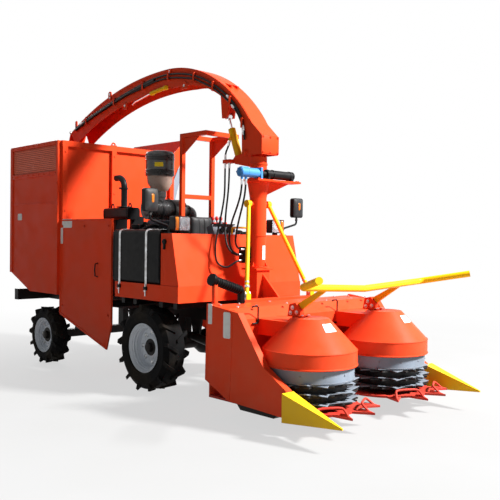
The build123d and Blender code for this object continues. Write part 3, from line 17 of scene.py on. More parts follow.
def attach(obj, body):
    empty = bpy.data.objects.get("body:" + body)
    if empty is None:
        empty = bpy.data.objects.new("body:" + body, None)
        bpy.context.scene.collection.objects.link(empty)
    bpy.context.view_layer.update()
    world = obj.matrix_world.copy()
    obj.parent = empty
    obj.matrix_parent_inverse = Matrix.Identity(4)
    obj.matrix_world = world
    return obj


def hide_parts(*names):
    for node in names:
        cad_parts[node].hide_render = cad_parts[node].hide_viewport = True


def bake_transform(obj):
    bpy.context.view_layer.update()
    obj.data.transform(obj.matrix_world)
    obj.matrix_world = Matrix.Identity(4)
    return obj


MM = 0.001
FRONT_AXLE_X = 0.195
FORWARD, LEFT, UP = (1, 0, 0), (0, 1, 0), (0, 0, 1)
BACK, RIGHT, DOWN = (-1, 0, 0), (0, -1, 0), (0, 0, -1)
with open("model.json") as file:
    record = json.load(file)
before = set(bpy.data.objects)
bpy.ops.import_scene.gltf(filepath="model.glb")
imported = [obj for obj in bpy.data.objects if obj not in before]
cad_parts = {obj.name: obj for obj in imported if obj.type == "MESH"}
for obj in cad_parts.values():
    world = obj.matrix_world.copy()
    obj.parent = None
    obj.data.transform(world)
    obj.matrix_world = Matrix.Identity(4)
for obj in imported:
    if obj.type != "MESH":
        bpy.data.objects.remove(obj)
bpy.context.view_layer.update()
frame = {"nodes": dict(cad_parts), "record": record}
node = frame["nodes"]

# %% [markdown]
# ## The camera
# A camera fitted to the photograph's corners keeps every proportion honest. Its direction is given
# by a heading, a pitch and a small roll, and the matrix is put together from the three axes.

# %% Camera at the photograph's place
CAMERA_PLACE = (6.561, -5.449, 1.677)
CAMERA_LENS = 51.45
heading, pitch, roll = np.radians([136.15, -0.93, 0.75])
ahead = np.array([np.cos(pitch) * np.cos(heading), np.cos(pitch) * np.sin(heading), np.sin(pitch)])
level = np.array([np.sin(heading), -np.cos(heading), 0.0])
above = np.cross(level, ahead)
right = np.cos(roll) * level + np.sin(roll) * above
upward = -np.sin(roll) * level + np.cos(roll) * above
camera_data = bpy.data.cameras.new("photo_camera")
camera_data.lens, camera_data.sensor_width = CAMERA_LENS, 36.0
camera = bpy.data.objects.new("photo_camera", camera_data)
bpy.context.scene.collection.objects.link(camera)
placed = np.eye(4)
placed[:3, :] = np.column_stack([right, upward, -ahead, CAMERA_PLACE])
camera.matrix_world = Matrix(placed.tolist())
bpy.context.scene.camera = camera
print("camera", tuple(round(v, 2) for v in camera.location))

# %% [markdown]
# ## Node trees
# Sky, floor and finishes are all small trees of shader nodes. A few helpers keep them short: one adds
# a node, one links or sets a socket, and the others are the steps that come back again and again.

# %% Helpers for node trees
def wire(tree, target, value):
    """Link a socket to an input, or set a constant there."""
    if isinstance(value, bpy.types.NodeSocket):
        tree.links.new(value, target)
    elif np.ndim(value):
        target.default_value = (*value, 1.0) if target.type == "RGBA" else tuple(value)
    else:
        target.default_value = value


def add(tree, kind, inputs=(), **settings):
    """Outputs of a new shader node, with its settings made and its inputs wired by place or name."""
    made = tree.nodes.new("ShaderNode" + kind)
    for name, value in settings.items():
        setattr(made, name, value)
    for key, value in inputs.items() if isinstance(inputs, dict) else enumerate(inputs):
        wire(tree, made.inputs[key], value)
    return made.outputs


def calc(tree, operation, a, b):
    """One Math node."""
    return add(tree, "Math", (a, b), operation=operation)[0]


def seen_ray(tree):
    """1 for rays that show a surface (camera, clear, glossy), and 0 for the light that it sends on."""
    path = add(tree, "LightPath")
    shown = calc(tree, "MAXIMUM", path["Is Camera Ray"], path["Is Transmission Ray"])
    return calc(tree, "MAXIMUM", shown, path["Is Glossy Ray"])


def shared(tree, share, first, second):
    """Shader first where share is 0, and second where it is 1."""
    return add(tree, "MixShader", (share, first, second))[0]


def place_in(tree):
    """Object coordinates, which stay put on a body that moves."""
    return add(tree, "TexCoord")["Object"]


# %% Steps that finishes share
def noise(tree, scale, detail=4.0, stretch=(1, 1, 1)):
    """Cloudy noise on Object coordinates, from about 0.3 to 0.7."""
    placed = add(tree, "Mapping", {"Vector": place_in(tree), "Scale": stretch})["Vector"]
    return add(tree, "TexNoise", {"Vector": placed, "Scale": scale, "Detail": detail})["Fac"]


def ramp(tree, value, low, high, to_low=0.0, to_high=1.0):
    """Straight ramp of a value from low..high to to_low..to_high, held at both ends."""
    return add(tree, "MapRange", (value, low, high, to_low, to_high))["Result"]


def mixed(tree, share, a, b):
    """Colour a where share is 0 and b where it is 1."""
    return add(tree, "Mix", {"Factor": share, 6: a, 7: b}, data_type="RGBA")[2]


def height(tree):
    """Height above the ground at rest."""
    return add(tree, "SeparateXYZ", [place_in(tree)])["Z"]


def soft_edges(tree, radius):
    """Rounded normal near edges, and a mask that is 1 on them."""
    rounded = add(tree, "Bevel", {"Radius": radius}, samples=4)["Normal"]
    flat = add(tree, "NewGeometry")["Normal"]
    apart = add(tree, "VectorMath", (rounded, flat), operation="DOT_PRODUCT")["Value"]
    return rounded, ramp(tree, apart, 0.985, 0.86)


def relief(tree, shader, value, strength, depth, normal=None):
    """Bump from a value, on top of a rounded normal if one is given."""
    inputs = {"Strength": strength, "Distance": depth, "Height": value}
    if normal is not None:
        inputs["Normal"] = normal
    wire(tree, shader.inputs["Normal"], add(tree, "Bump", inputs)["Normal"])


# %% [markdown]
# ## Light
# The machine was lit from its front left, so the faces that look forward are bright and the right
# side is in shade. One large soft lamp does that, two weak ones open the shade at the side and behind,
# and the sky fills the rest. What the camera sees behind the machine is plain white.

# %% Lamps and sky
SKY_FILL = 0.13


def soft_lamp(name, place, target, size, watts):
    """Square area lamp at a place, with its -Z axis turned to the target."""
    data = bpy.data.lights.new(name, "AREA")
    data.size, data.energy = size, watts
    lamp = bpy.data.objects.new(name, data)
    lamp.location = place
    lamp.rotation_euler = (Vector(target) - Vector(place)).to_track_quat("-Z", "Y").to_euler()
    bpy.context.scene.collection.objects.link(lamp)


soft_lamp("key_lamp", (15.0, 8.8, 16.0), (0, 0, 1.2), 3.2, 17500)
soft_lamp("side_lamp", (1.5, -11.0, 4.5), (0, 0, 1.4), 6.0, 40)
soft_lamp("rear_lamp", (-13.0, 3.5, 6.0), (0, 0, 1.4), 6.0, 900)
world = bpy.data.worlds.new("studio_sky")
bpy.context.scene.world = world
world.use_nodes = True
sky = world.node_tree
sky.nodes.clear()
white = add(sky, "Background", {"Color": (1, 1, 1)})[0]
grey = add(sky, "Background", {"Color": (0.86, 0.93, 1.0), "Strength": SKY_FILL})[0]
add(sky, "OutputWorld", {"Surface": shared(sky, seen_ray(sky), grey, white)})
bpy.context.scene.view_settings.view_transform = "Standard"
print("three lamps and a sky")

# %% [markdown]
# ## Finishes
# Farm paint is never one flat colour: it fades in patches, chips along its edges, and gathers dust
# near the ground. Each finish below is built from noise on Object coordinates. A Bevel node rounds
# the sharp edges of the solids in the shading and also finds the edges where paint chips. Each finish
# belongs to one of the record's material slots, and the first one made for a slot is for its solids.

# %% Colours, slots and clouds
finish_of, slot_of = {}, {}


def srgb(*display):
    """Screen colours of 0 to 255 as rows of the linear numbers that a shader takes."""
    c = np.array(display) / 255.0
    return np.where(c <= 0.04045, c / 12.92, ((c + 0.055) / 1.055) ** 2.4)


def new_finish(name, slot, roughness, metallic=0.0, shine=0.5):
    """Empty material of a slot, with its plain numbers set on the shader's own sockets."""
    material = bpy.data.materials.new(name)
    material.use_nodes = True
    shader = material.node_tree.nodes["Principled BSDF"]
    shader.inputs["Roughness"].default_value = roughness
    shader.inputs["Metallic"].default_value = metallic
    shader.inputs["Specular IOR Level"].default_value = shine
    finish_of.setdefault(slot, material)
    slot_of[material.name] = slot
    return material, material.node_tree, shader


def clouds(tree, colours, scale, detail, low, high):
    """Two screen colours that change over in clouds."""
    return mixed(tree, ramp(tree, noise(tree, scale, detail), low, high), *srgb(*colours))


def gloss(tree, shader, scale, detail, low, high):
    """Roughness that wanders between two numbers."""
    wire(tree, shader.inputs["Roughness"], ramp(tree, noise(tree, scale, detail), 0.3, 0.7, low, high))


DUST = srgb((168, 148, 120))[0]


# %% Paint, metal and plastic
def paint(name, slot, colour, faded, worn, roughness=0.36, shine=0.06, dust=0.11, chips=0.75, edge=0.004):
    """Enamel: two tones in clouds, chips along edges, dust up to 1.5 m, orange-peel relief."""
    material, tree, shader = new_finish(name, slot, roughness, shine=shine)
    tone = clouds(tree, (colour, faded), 1.4, 5, 0.36, 0.66)
    normal, edges = soft_edges(tree, edge) if edge else (None, 0.0)
    broken = ramp(tree, noise(tree, 26, 6), 0.50, 0.60, 0.0, chips)
    tone = mixed(tree, calc(tree, "MULTIPLY", edges, broken), tone, *srgb(worn))
    low = ramp(tree, height(tree), 1.5, 0.1, 0.0, dust)
    film = calc(tree, "MULTIPLY", low, ramp(tree, noise(tree, 5, 6), 0.35, 0.7, 0.15, 1.0))
    wire(tree, shader.inputs["Base Color"], mixed(tree, film, tone, DUST))
    gloss(tree, shader, 7, 5, roughness - 0.07, roughness + 0.14)
    relief(tree, shader, noise(tree, 210, 2), 0.10, 0.0006, normal)
    return material


def metal(name, slot, colour, dull, roughness, edge=0.0015):
    """Bare or plated metal with smears in its gloss and fine scratches along it."""
    material, tree, shader = new_finish(name, slot, roughness, metallic=1.0)
    wire(tree, shader.inputs["Base Color"], clouds(tree, (colour, dull), 16, 6, 0.4, 0.68))
    gloss(tree, shader, 24, 6, roughness - 0.08, roughness + 0.16)
    relief(tree, shader, noise(tree, 90, 3, (1, 1, 12)), 0.12, 0.0004, soft_edges(tree, edge)[0])
    return material


def moulded(name, slot, colour, pale, roughness, grain=160, edge=0.004, dust=0.06, shine=0.14):
    """Moulded plastic: fine grain, paler scuffs and a little dust on it."""
    material, tree, shader = new_finish(name, slot, roughness, shine=shine)
    tone = clouds(tree, (colour, pale), 11, 6, 0.52, 0.72)
    tone = mixed(tree, ramp(tree, noise(tree, 3, 6), 0.45, 0.75, 0.0, dust), tone, DUST)
    wire(tree, shader.inputs["Base Color"], tone)
    gloss(tree, shader, 19, 4, roughness - 0.08, roughness + 0.1)
    relief(tree, shader, noise(tree, grain, 3), 0.18, 0.0005, soft_edges(tree, edge)[0])
    return material


# %% [markdown]
# Each row gives a finish its slot, its main colour, a second colour that it fades to, and for paint
# the colour that shows where it is chipped. The numbers are screen colours.

# %% Table of finishes
YELLOWS = (240, 190, 12), (226, 176, 30), (110, 96, 70)
orange = paint("orange_enamel", "orange_paint", (230, 64, 28), (220, 68, 34), (118, 66, 52))
black = paint("black_enamel", "black_paint", (15, 15, 16), (23, 22, 23), (84, 80, 76),
              roughness=0.40, shine=0.12, dust=0.05)
yellow = paint("yellow_enamel", "yellow_paint", *YELLOWS, shine=0.12, dust=0.10, chips=0.2, edge=0.002)
bar_yellow = paint("bar_enamel", "yellow_paint", *YELLOWS, shine=0.12, dust=0.10, chips=0.0, edge=0.0)
red = paint("red_enamel", "red_paint", (196, 48, 38), (178, 54, 44), (120, 112, 104),
            roughness=0.4, shine=0.10, dust=0.12)
drum_grey = paint("drum_enamel", "drum_grey", (112, 121, 134), (126, 132, 140), (178, 176, 170),
                  roughness=0.42, shine=0.15, dust=0.10)
rim_grey = paint("rim_enamel", "rim_silver", (228, 233, 240), (206, 211, 218), (120, 112, 104),
                 roughness=0.38, shine=0.2, dust=0.12)
motor_blue = paint("motor_enamel", "motor_blue", (62, 128, 192), (80, 142, 198), (150, 150, 148),
                   roughness=0.4, shine=0.15, dust=0.0)
paint("console_enamel", "console_grey", (124, 130, 136), (110, 116, 124), (80, 80, 80),
      roughness=0.5, shine=0.15, dust=0.1)
iron = paint("engine_enamel", "engine_iron", (58, 61, 64), (44, 44, 44), (120, 92, 70),
             roughness=0.55, shine=0.15, dust=0.2)
chrome = metal("chromed_rod", "rod_chrome", (232, 234, 236), (205, 206, 206), 0.14)
steel = metal("plated_steel", "rod_chrome", (196, 198, 200), (150, 148, 144), 0.30)
black_plastic = moulded("black_plastic", "black_plastic", (11, 11, 12), (19, 19, 20), 0.42,
                        dust=0.012, shine=0.08)
pot_plastic = moulded("cleaner_plastic", "black_plastic", (26, 25, 27), (38, 37, 38), 0.30,
                      edge=0.003, dust=0.05, shine=0.5)
dark_plastic = moulded("mirror_shell", "lamp_housing", (36, 37, 39), (50, 51, 52), 0.5)
hose_rubber = moulded("hose_rubber", "hose_rubber", (16, 16, 17), (28, 28, 29), 0.40,
                      grain=240, edge=0.001, dust=0.03)
label_white = moulded("blank_plate", "rim_silver", (222, 222, 218), (206, 205, 200), 0.5,
                      grain=120, edge=0.001, dust=0.15)
label_yellow = moulded("blank_yellow_plate", "yellow_paint", (226, 196, 40), (206, 180, 60), 0.5,
                       grain=120, edge=0.001, dust=0.1)
knob_red = moulded("red_knob", "red_paint", (190, 26, 24), (170, 40, 36), 0.35,
                   grain=120, edge=0.002, dust=0.05)
print(len(bpy.data.materials), "finishes")


# %% Rubber, lenses and the drums' grey band over painted shade
def tyre_rubber():
    """Rubber: near black on the lugs' sides, greyer where it runs on the ground, dust in clouds."""
    material, tree, shader = new_finish("tyre_rubber", "tyre_rubber", 0.78, shine=0.06)
    tone = clouds(tree, ((12, 12, 13), (21, 20, 20)), 9, 6, 0.38, 0.68)
    normal, edges = soft_edges(tree, 0.006)
    tone = mixed(tree, calc(tree, "MULTIPLY", edges, 0.5), tone, *srgb((50, 48, 46)))
    tone = mixed(tree, ramp(tree, noise(tree, 3.2, 6), 0.46, 0.74, 0.0, 0.05), tone, DUST)
    wire(tree, shader.inputs["Base Color"], tone)
    relief(tree, shader, noise(tree, 120, 4), 0.3, 0.001, normal)
    return material


def clear(name, slot, colour, roughness, through):
    """Clear or tinted lens with a faint unevenness in its surface."""
    material, tree, shader = new_finish(name, slot, roughness)
    shader.inputs["Transmission Weight"].default_value = through
    shader.inputs["IOR"].default_value = 1.46
    tint = srgb(colour)[0]
    tone = mixed(tree, ramp(tree, noise(tree, 14, 3), 0.4, 0.7), tint, tint * 0.82)
    wire(tree, shader.inputs["Base Color"], tone)
    relief(tree, shader, noise(tree, 60, 2), 0.06, 0.0005)
    return material


def drum_paint(name):
    """Grey band above, and a dark tone below the height where the toothed discs begin: painted shade of the
    gaps between the discs.
    """
    material, tree, shader = new_finish(name, "drum_grey", 0.45, shine=0.15)
    band = clouds(tree, ((128, 138, 150), (112, 120, 130)), 4, 5, 0.38, 0.66)
    # Painted shade: the dark tone below the band stands for the shade between the toothed discs.
    painted_gap_shade = clouds(tree, ((24, 24, 26), (52, 50, 48)), 18, 5, 0.4, 0.66)
    wire(tree, shader.inputs["Base Color"], mixed(tree, ramp(tree, height(tree), 0.432, 0.428), band, painted_gap_shade))
    relief(tree, shader, noise(tree, 120, 3), 0.12, 0.0006, soft_edges(tree, 0.003)[0])
    return material


rubber = tyre_rubber()
lens = clear("lamp_lens", "rim_silver", (238, 242, 246), 0.06, 0.85)
amber = clear("amber_lens", "yellow_paint", (240, 132, 24), 0.12, 0.35)
mirror_glass = metal("mirror_glass", "rod_chrome", (226, 230, 234), (214, 218, 222), 0.09, 0.0005)
drum_band_shade = drum_paint("drum_band_painted_shade")
print("lenses, glass, rubber and drum paint")

# %% [markdown]
# Every solid takes the first finish of its slot in the record. Only a few have a finish of their own.

# %% Finishes on the solids
own_finish = {"drum_left": drum_band_shade, "drum_right": drum_band_shade, "air_cleaner": pot_plastic,
              "push_bar": bar_yellow, "pillar_stays": bar_yellow, "spout_barrel": bar_yellow}
for part in frame["record"]["subparts"]:
    solid = node[part["node"]].data
    solid.materials.clear()
    solid.materials.append(own_finish.get(part["node"], finish_of[part["material_slot"]]))

# %% [markdown]
# ## Shapes from arrays
# Nearly all pieces below are one of four surfaces: a profile carried along a path, an outline turned
# about an axis, a box with rounded edges, or a flat outline with a thickness. Each function returns
# points and faces, and a piece is a list of such shapes.

# %% Grids, directions and arcs
def quads(rows, columns, wrap=True):
    """Corner numbers of the quads on a grid of rows by columns points, closed round the columns."""
    row = np.arange(rows - 1)[:, None]
    column = np.arange(columns if wrap else columns - 1)
    near, far = row * columns + column, row * columns + (column + 1) % columns
    return np.stack([near, far, far + columns, near + columns], -1).reshape(-1, 4).tolist()


def capped(rows, columns):
    """Quads of a closed tube, and one face at each of its ends."""
    first = list(range(columns))
    return quads(rows, columns) + [first, [c + (rows - 1) * columns for c in first]]


def at(x, y, z):
    """Point as an array, to count from."""
    return np.array([x, y, z], float)


def unit(rows):
    """Vectors of length 1."""
    rows = np.asarray(rows, float)
    return rows / np.linalg.norm(rows, axis=-1, keepdims=True)


def arc(centre, radius, turn, across=FORWARD, along=LEFT):
    """Points centre + r (cos t across + sin t along)."""
    t = np.asarray(turn)[:, None]
    return np.asarray(centre) + np.reshape(radius, (-1, 1)) * (
        np.cos(t) * np.asarray(across) + np.sin(t) * np.asarray(along))


# %% Carried and turned shapes
def carried(profile, path, up=UP):
    """Profile carried along a path: point = path + a (tangent x up) + b (side x tangent)."""
    path, profile = np.asarray(path, float), np.asarray(profile, float)
    tangent = unit(np.gradient(path, axis=0))
    side = unit(np.cross(tangent, np.asarray(up, float)))
    lift = np.cross(side, tangent)
    points = path[:, None] + profile[None, :, :1] * side[:, None] + profile[None, :, 1:] * lift[:, None]
    return points.reshape(-1, 3), capped(len(path), len(profile))


def strip(width, thickness):
    """Flat profile of a strap or sheet edge, centred on its path."""
    a, b = width / 2, thickness / 2
    return [(-a, -b), (a, -b), (a, b), (-a, b)]


def tube(path, radius, sides=14, up=UP):
    """Round bar or pipe along a path."""
    return carried(arc((0, 0, 0), radius, np.arange(sides) * 2 * np.pi / sides)[:, :2], path, up)


def turned(outline, centre, axis, steps=40):
    """Outline of (radius, height) turned about an axis: centre + h axis + r (cos t a + sin t b).

    An outline that starts and ends off the axis is closed on itself, as a ring."""
    outline, axis = np.asarray(outline, float), unit(axis)
    a = unit(np.cross(axis, UP if abs(axis[2]) < 0.9 else FORWARD))
    around = arc((0, 0, 0), 1, np.arange(steps) * 2 * np.pi / steps, a, np.cross(axis, a))
    points = np.asarray(centre) + outline[:, 1, None, None] * axis + outline[:, 0, None, None] * around
    if outline[0, 0] > 0 and outline[-1, 0] > 0:
        return np.concatenate([points, points[:1]]).reshape(-1, 3), quads(len(outline) + 1, steps)
    return points.reshape(-1, 3), capped(len(outline), steps)


def sleeve(inner, outer, low, high, centre, axis, steps):
    """Square-edged ring, or a plain round bar where the inner radius is 0."""
    return turned([(inner, low), (outer, low), (outer, high), (inner, high)], centre, axis, steps)


# %% Blocks, sheets and shells
def block(centre, size, corner, steps=3):
    """Box with rounded edges: a sphere of the corner radius whose eight parts are pushed apart."""
    quarter = np.linspace(0, np.pi / 2, steps + 1)
    turn = (np.arange(4)[:, None] * np.pi / 2 + quarter).ravel()
    rise = np.concatenate([quarter - np.pi / 2, quarter])
    away = np.repeat([(1, 1), (-1, 1), (-1, -1), (1, -1)], steps + 1, axis=0)
    core = np.asarray(size) / 2 - corner
    x = away[:, 0] * core[0] + corner * np.cos(rise)[:, None] * np.cos(turn)
    y = away[:, 1] * core[1] + corner * np.cos(rise)[:, None] * np.sin(turn)
    z = np.repeat([-1, 1], steps + 1) * core[2] + corner * np.sin(rise)
    points = np.stack([x, y, np.broadcast_to(z[:, None], x.shape)], -1).reshape(-1, 3)
    return points + np.asarray(centre), capped(*x.shape)


def sheet_cut(outline, origin, thickness, across=FORWARD, along=UP):
    """Flat outline of (a, b) points, thickened: origin + a across + b along, to and fro."""
    outline, across, along = (np.asarray(v, float) for v in (outline, across, along))
    normal = unit(np.cross(across, along)) * thickness / 2
    flat = np.asarray(origin) + outline[:, :1] * across + outline[:, 1:] * along
    return np.concatenate([flat - normal, flat + normal]), capped(2, len(outline))


def shell(low, high, rows, columns):
    """Closed form of two like grids of points: each one as a sheet, and a wall round their rims."""
    n, grid = rows * columns, np.arange(rows * columns).reshape(rows, columns)
    rim = np.concatenate([grid[0], grid[1:, -1], grid[-1, -2::-1], grid[-2:0:-1, 0]])
    after = np.roll(rim, -1)
    flat = np.array(quads(rows, columns, False))
    wall = np.column_stack([rim, after, after + n, rim + n])
    return np.concatenate([low, high]), np.concatenate([flat, flat + n, wall]).tolist()


def curved_plate(centre, inner, outer, low, high, turn):
    """Thin plate bent round an upright axis, open on the side that lies on its wall."""
    section = (inner, low), (outer, low), (outer, high), (inner, high)
    n = len(turn)
    ends = [[0, n, 2 * n, 3 * n], [n - 1, 4 * n - 1, 3 * n - 1, 2 * n - 1]]
    return np.concatenate([arc(centre + (0, 0, z), r, turn) for r, z in section]), quads(4, n, False) + ends


# %% [markdown]
# Bolts are small shapes repeated at many places. A route is smoothed by a NURBS spline before a tube
# follows it. The last function makes a piece: it turns shapes into a mesh in metres, gives it its finish
# and slot, and ties it to the body that it rides on.

# %% From shapes to pieces
def joined(shapes):
    """Several shapes as one array of points and one list of faces."""
    starts = np.cumsum([0] + [len(points) for points, _ in shapes]).tolist()
    faces = [[c + start for c in face] for start, (_, part) in zip(starts, shapes) for face in part]
    return np.concatenate([points for points, _ in shapes]), faces


def bolts(places, facing, radius):
    """Hexagon heads on washers, all facing one way: two short turned outlines at each place."""
    r = radius
    head = [(0, 0.2 * r), (r, 0.2 * r), (r, 0.85 * r), (0.8 * r, r), (0, r)]
    return joined([shape for place in places for shape in (
        sleeve(0, 1.7 * r, 0, 0.3 * r, place, facing, 12), turned(head, place, facing, 6))])


def smooth_line(points):
    """Points read from the NURBS spline of order 3 that a route's points control."""
    curve = bpy.data.curves.new("route", "CURVE")
    curve.dimensions = "3D"
    curve.resolution_u = 10
    spline = curve.splines.new("NURBS")
    spline.points.add(len(points) - 1)
    spline.points.foreach_set("co", np.column_stack([points, np.ones(len(points))]).ravel())
    spline.order_u = 3
    spline.use_endpoint_u = True
    holder = bpy.data.objects.new("route", curve)
    mesh = bpy.data.meshes.new_from_object(holder)
    line = np.empty(len(mesh.vertices) * 3)
    mesh.vertices.foreach_get("co", line)
    bpy.data.objects.remove(holder)
    bpy.data.curves.remove(curve)
    bpy.data.meshes.remove(mesh)
    return line.reshape(-1, 3)


def metres(points):
    """Millimetres from the front axle as metres in the frame."""
    return np.asarray(points, float) * MM + (FRONT_AXLE_X, 0, 0)


def piece(name, shapes, finish, body="chassis", smooth=35.0):
    """Make one mesh of shapes, close its doubles, turn its faces outwards and let it ride on a body."""
    points, faces = joined(shapes)
    mesh = bpy.data.meshes.new(name)
    mesh.from_pydata(metres(points).tolist(), [], faces)
    work = bmesh.new()
    work.from_mesh(mesh)
    bmesh.ops.remove_doubles(work, verts=work.verts, dist=2e-5)
    bmesh.ops.recalc_face_normals(work, faces=work.faces)
    work.to_mesh(mesh)
    work.free()
    mesh.shade_smooth()
    mesh.set_sharp_from_angle(angle=np.radians(smooth))
    mesh.materials.append(finish)
    made = bpy.data.objects.new(name, mesh)
    bpy.context.scene.collection.objects.link(made)
    if body:
        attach(made, body)
    print(name, len(mesh.polygons), "faces")
    return made


# %% [markdown]
# ## The floor
# The floor only has to carry the shadow. It is a wide disc that is nearly white to the camera and
# fades to pure white away from the machine, so that no horizon shows.

# %% Floor disc
FLOOR_DROP, FLOOR_STEPS = -0.002, 64
FLOOR_TONES = (0.28, 0.28, 0.27), (0.31, 0.31, 0.31)
floor_finish, tree, shader = new_finish("pale_floor", None, 0.9)
tone = mixed(tree, ramp(tree, noise(tree, 0.8, 3), 0.3, 0.7), *FLOOR_TONES)
wire(tree, shader.inputs["Base Color"], tone)
glow = add(tree, "Emission", {"Color": (1, 1, 1)})[0]
away = add(tree, "VectorMath", [place_in(tree)], operation="LENGTH")["Value"]
fade = ramp(tree, away, 2.5, 9.0, 0.62, 1.0)
lit = shared(tree, calc(tree, "MULTIPLY", fade, seen_ray(tree)), shader.outputs["BSDF"], glow)
wire(tree, tree.nodes["Material Output"].inputs["Surface"], lit)
floor_mesh = bpy.data.meshes.new("floor")
points, faces = turned([(r, FLOOR_DROP) for r in (0, 3, 9, 40)], (0, 0, 0), UP, FLOOR_STEPS)
floor_mesh.from_pydata(points.tolist(), [], faces[:-2])
floor_mesh.materials.append(floor_finish)
floor = bpy.data.objects.new("floor", floor_mesh)
bpy.context.scene.collection.objects.link(floor)
print("floor of", len(floor_mesh.polygons), "faces")

# %% [markdown]
# ## Hydraulic hoses
# Five rubber hoses feed the spout's cylinder and the slewing motor. Each has a fixed length, leaves
# its union straight, sags, and comes back up to the block on the pillar. The route's points are the
# same as in the CAD source, used as the control points of one smooth NURBS spline. A tube is then
# carried along points read from that spline. Three of the hoses cross a joint, so their tubes ride on no
# body; their end fittings ride on the bodies at both ends.

# %% Hose routes and tubes
HOSE_D = 20
ROUTES = {   # body at the first end, body at the last end, and the points between them
    "hose_spout_upper": ("spout_barrel", "turret", [
        (408, -66, 2765), (403.125, -79, 2700), (400, -120, 2622), (400, -120, 2550)]),
    "hose_spout_a": ("turret", "chassis", [
        (400, -120, 2510), (400, -120, 2355), (438, -155, 2150), (492, -250, 1925), (545, -355, 1725),
        (592, -425, 1545), (645, -440, 1400), (705, -340, 1352), (738, -235, 1440), (738, -150, 1440)]),
    "hose_spout_b": ("turret", "chassis", [
        (470, -120, 2510), (470, -120, 2360), (495, -155, 2165), (540, -228, 1955),
        (600, -292, 1745), (668, -318, 1575), (705, -235, 1492), (705, -150, 1492)]),
    "hose_motor_a": ("chassis", "chassis", [
        (976, -400, 2290), (976, -400, 2170), (905, -392, 2010), (790, -372, 1840),
        (722, -345, 1680), (715, -305, 1550), (738, -230, 1500), (738, -150, 1500)]),
    "hose_motor_b": ("chassis", "chassis", [
        (976, -345, 2290), (976, -345, 2180), (925, -335, 2030), (850, -318, 1870),
        (798, -308, 1730), (778, -300, 1620), (766, -235, 1555), (766, -150, 1555)]),
}
CRIMP = [(0, 12), (12.5, 12), (13.5, 18), (12.5, 26), (13.5, 34), (12.5, 42), (13.5, 50), (11.8, 58),
         (0, 58)]


def ferrule(name, place, direction, body):
    """Crimped end of a hose with its hexagon nut, turned about the hose's own direction."""
    nut = sleeve(0, 16.5, 0, 13, place, direction, 6)
    return piece(name, [turned(CRIMP, place, direction, 20), nut], steel, body)


for name, (first_body, last_body, route) in ROUTES.items():
    course = smooth_line(route)
    crosses = first_body != last_body
    hose = piece(name + "_rubber", [tube(course, HOSE_D / 2, 16, FORWARD)], hose_rubber,
                 None if crosses else last_body)
    if crosses:
        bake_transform(hose)
    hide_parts(name)
    ends = [ferrule(name + "_first_end", course[0], course[2] - course[0], first_body),
            ferrule(name + "_last_end", course[-1], course[-3] - course[-1], last_body)]

# %% [markdown]
# ## Wheels
# The solids give tyre, rim and spindle. What is missing is what a mechanic touches: hub caps, wheel
# nuts, valve stems, the rolled steps in the rims and the raised bead lines that a mould leaves on a
# tyre's side. All of them but the nuts and stems are outlines turned about the axle.

# %% Hubs, nuts, bead lines and rim steps
WHEELS = {   # x, y and z of the middle, then disc and hub outwards of it, rim radius and half width
    "front": (0, 800, 474, -2, 24, 254, 140),
    "rear": (-2278, 805, 373, 8, 34, 212, 105),
}
HUB_CAP = [(0, 52), (36, 50), (50, 40), (56, 4), (92, 3), (95, -4), (0, -4)]
BEAD = [(-5, -6), (0, 3), (5, -6)]
ROLL = [(4, 11), (-7, 4), (-7, -4), (4, -11)]
for axle, (x, y, z, disc, hub, rim, half) in WHEELS.items():
    for hand, side in (("right", -1), ("left", 1)):
        body = f"{axle}_wheel_{hand}"
        centre, out = at(x, side * y, z), at(0, side, 0)
        piece(body + "_hub", [turned(np.add(HUB_CAP, (0, hub)), centre, out, 32)], black, body)
        studs = arc(centre + out * disc, 168, np.arange(8) * np.pi / 4, along=UP)
        piece(body + "_nuts", [bolts(studs, out, 15)], steel, body)
        piece(body + "_bead_lines", [turned(np.add(BEAD, (rim + r, half * share)), centre, out, 64)
                                     for r, share in ((45, 0.955), (80, 0.965))], rubber, body)
        piece(body + "_rim_rolls", [turned(np.add(ROLL, (rim - r, half * share)), centre, out, 64)
                                    for r, share in ((21, 0.576), (31, 0.36))], rim_grey, body)
        stem = centre + (200, 0, 0) + out * [[disc + 2], [disc + 47]]
        piece(body + "_valve", [tube(stem, 6, 8)], black_plastic, body)

# %% [markdown]
# ## Hopper
# The bin's right wall has a recessed window of punched sheet under the top rail, so that the driver
# sees how full it is. The holes are real: the sheet is a grid of narrow bars and wide gaps whose gap
# cells get no face, and a Solidify modifier gives it thickness. A dark plate behind is painted shade.

# %% Punched window
HOLE, SHEET = 15, 3


def cell_edges(low, high, count):
    """Edges of bars and holes in turn along one direction: count holes, evenly spaced."""
    middle = low + (np.arange(count) + 0.5) * (high - low) / count
    return np.concatenate([[low], np.column_stack([middle - HOLE / 2, middle + HOLE / 2]).ravel(), [high]])


columns, rows = cell_edges(-3125, -1925, 48), cell_edges(2510, 2835, 13)
x, z = np.meshgrid(columns, rows)
cells = np.array(quads(*x.shape, False)).reshape(len(rows) - 1, len(columns) - 1, 4)
hole = np.outer(np.arange(len(rows) - 1) % 2, np.arange(len(columns) - 1) % 2) == 1
punched = np.column_stack([x.ravel(), np.full(x.size, -917), z.ravel()]), cells[~hole].tolist()
window_paint = paint("window_enamel", "orange_paint", (250, 128, 100), (242, 120, 92), (118, 66, 52),
                     chips=0.0, edge=0.0)
window = piece("hopper_window", [punched], window_paint)
window.modifiers.new("thickness", "SOLIDIFY").thickness = SHEET * MM
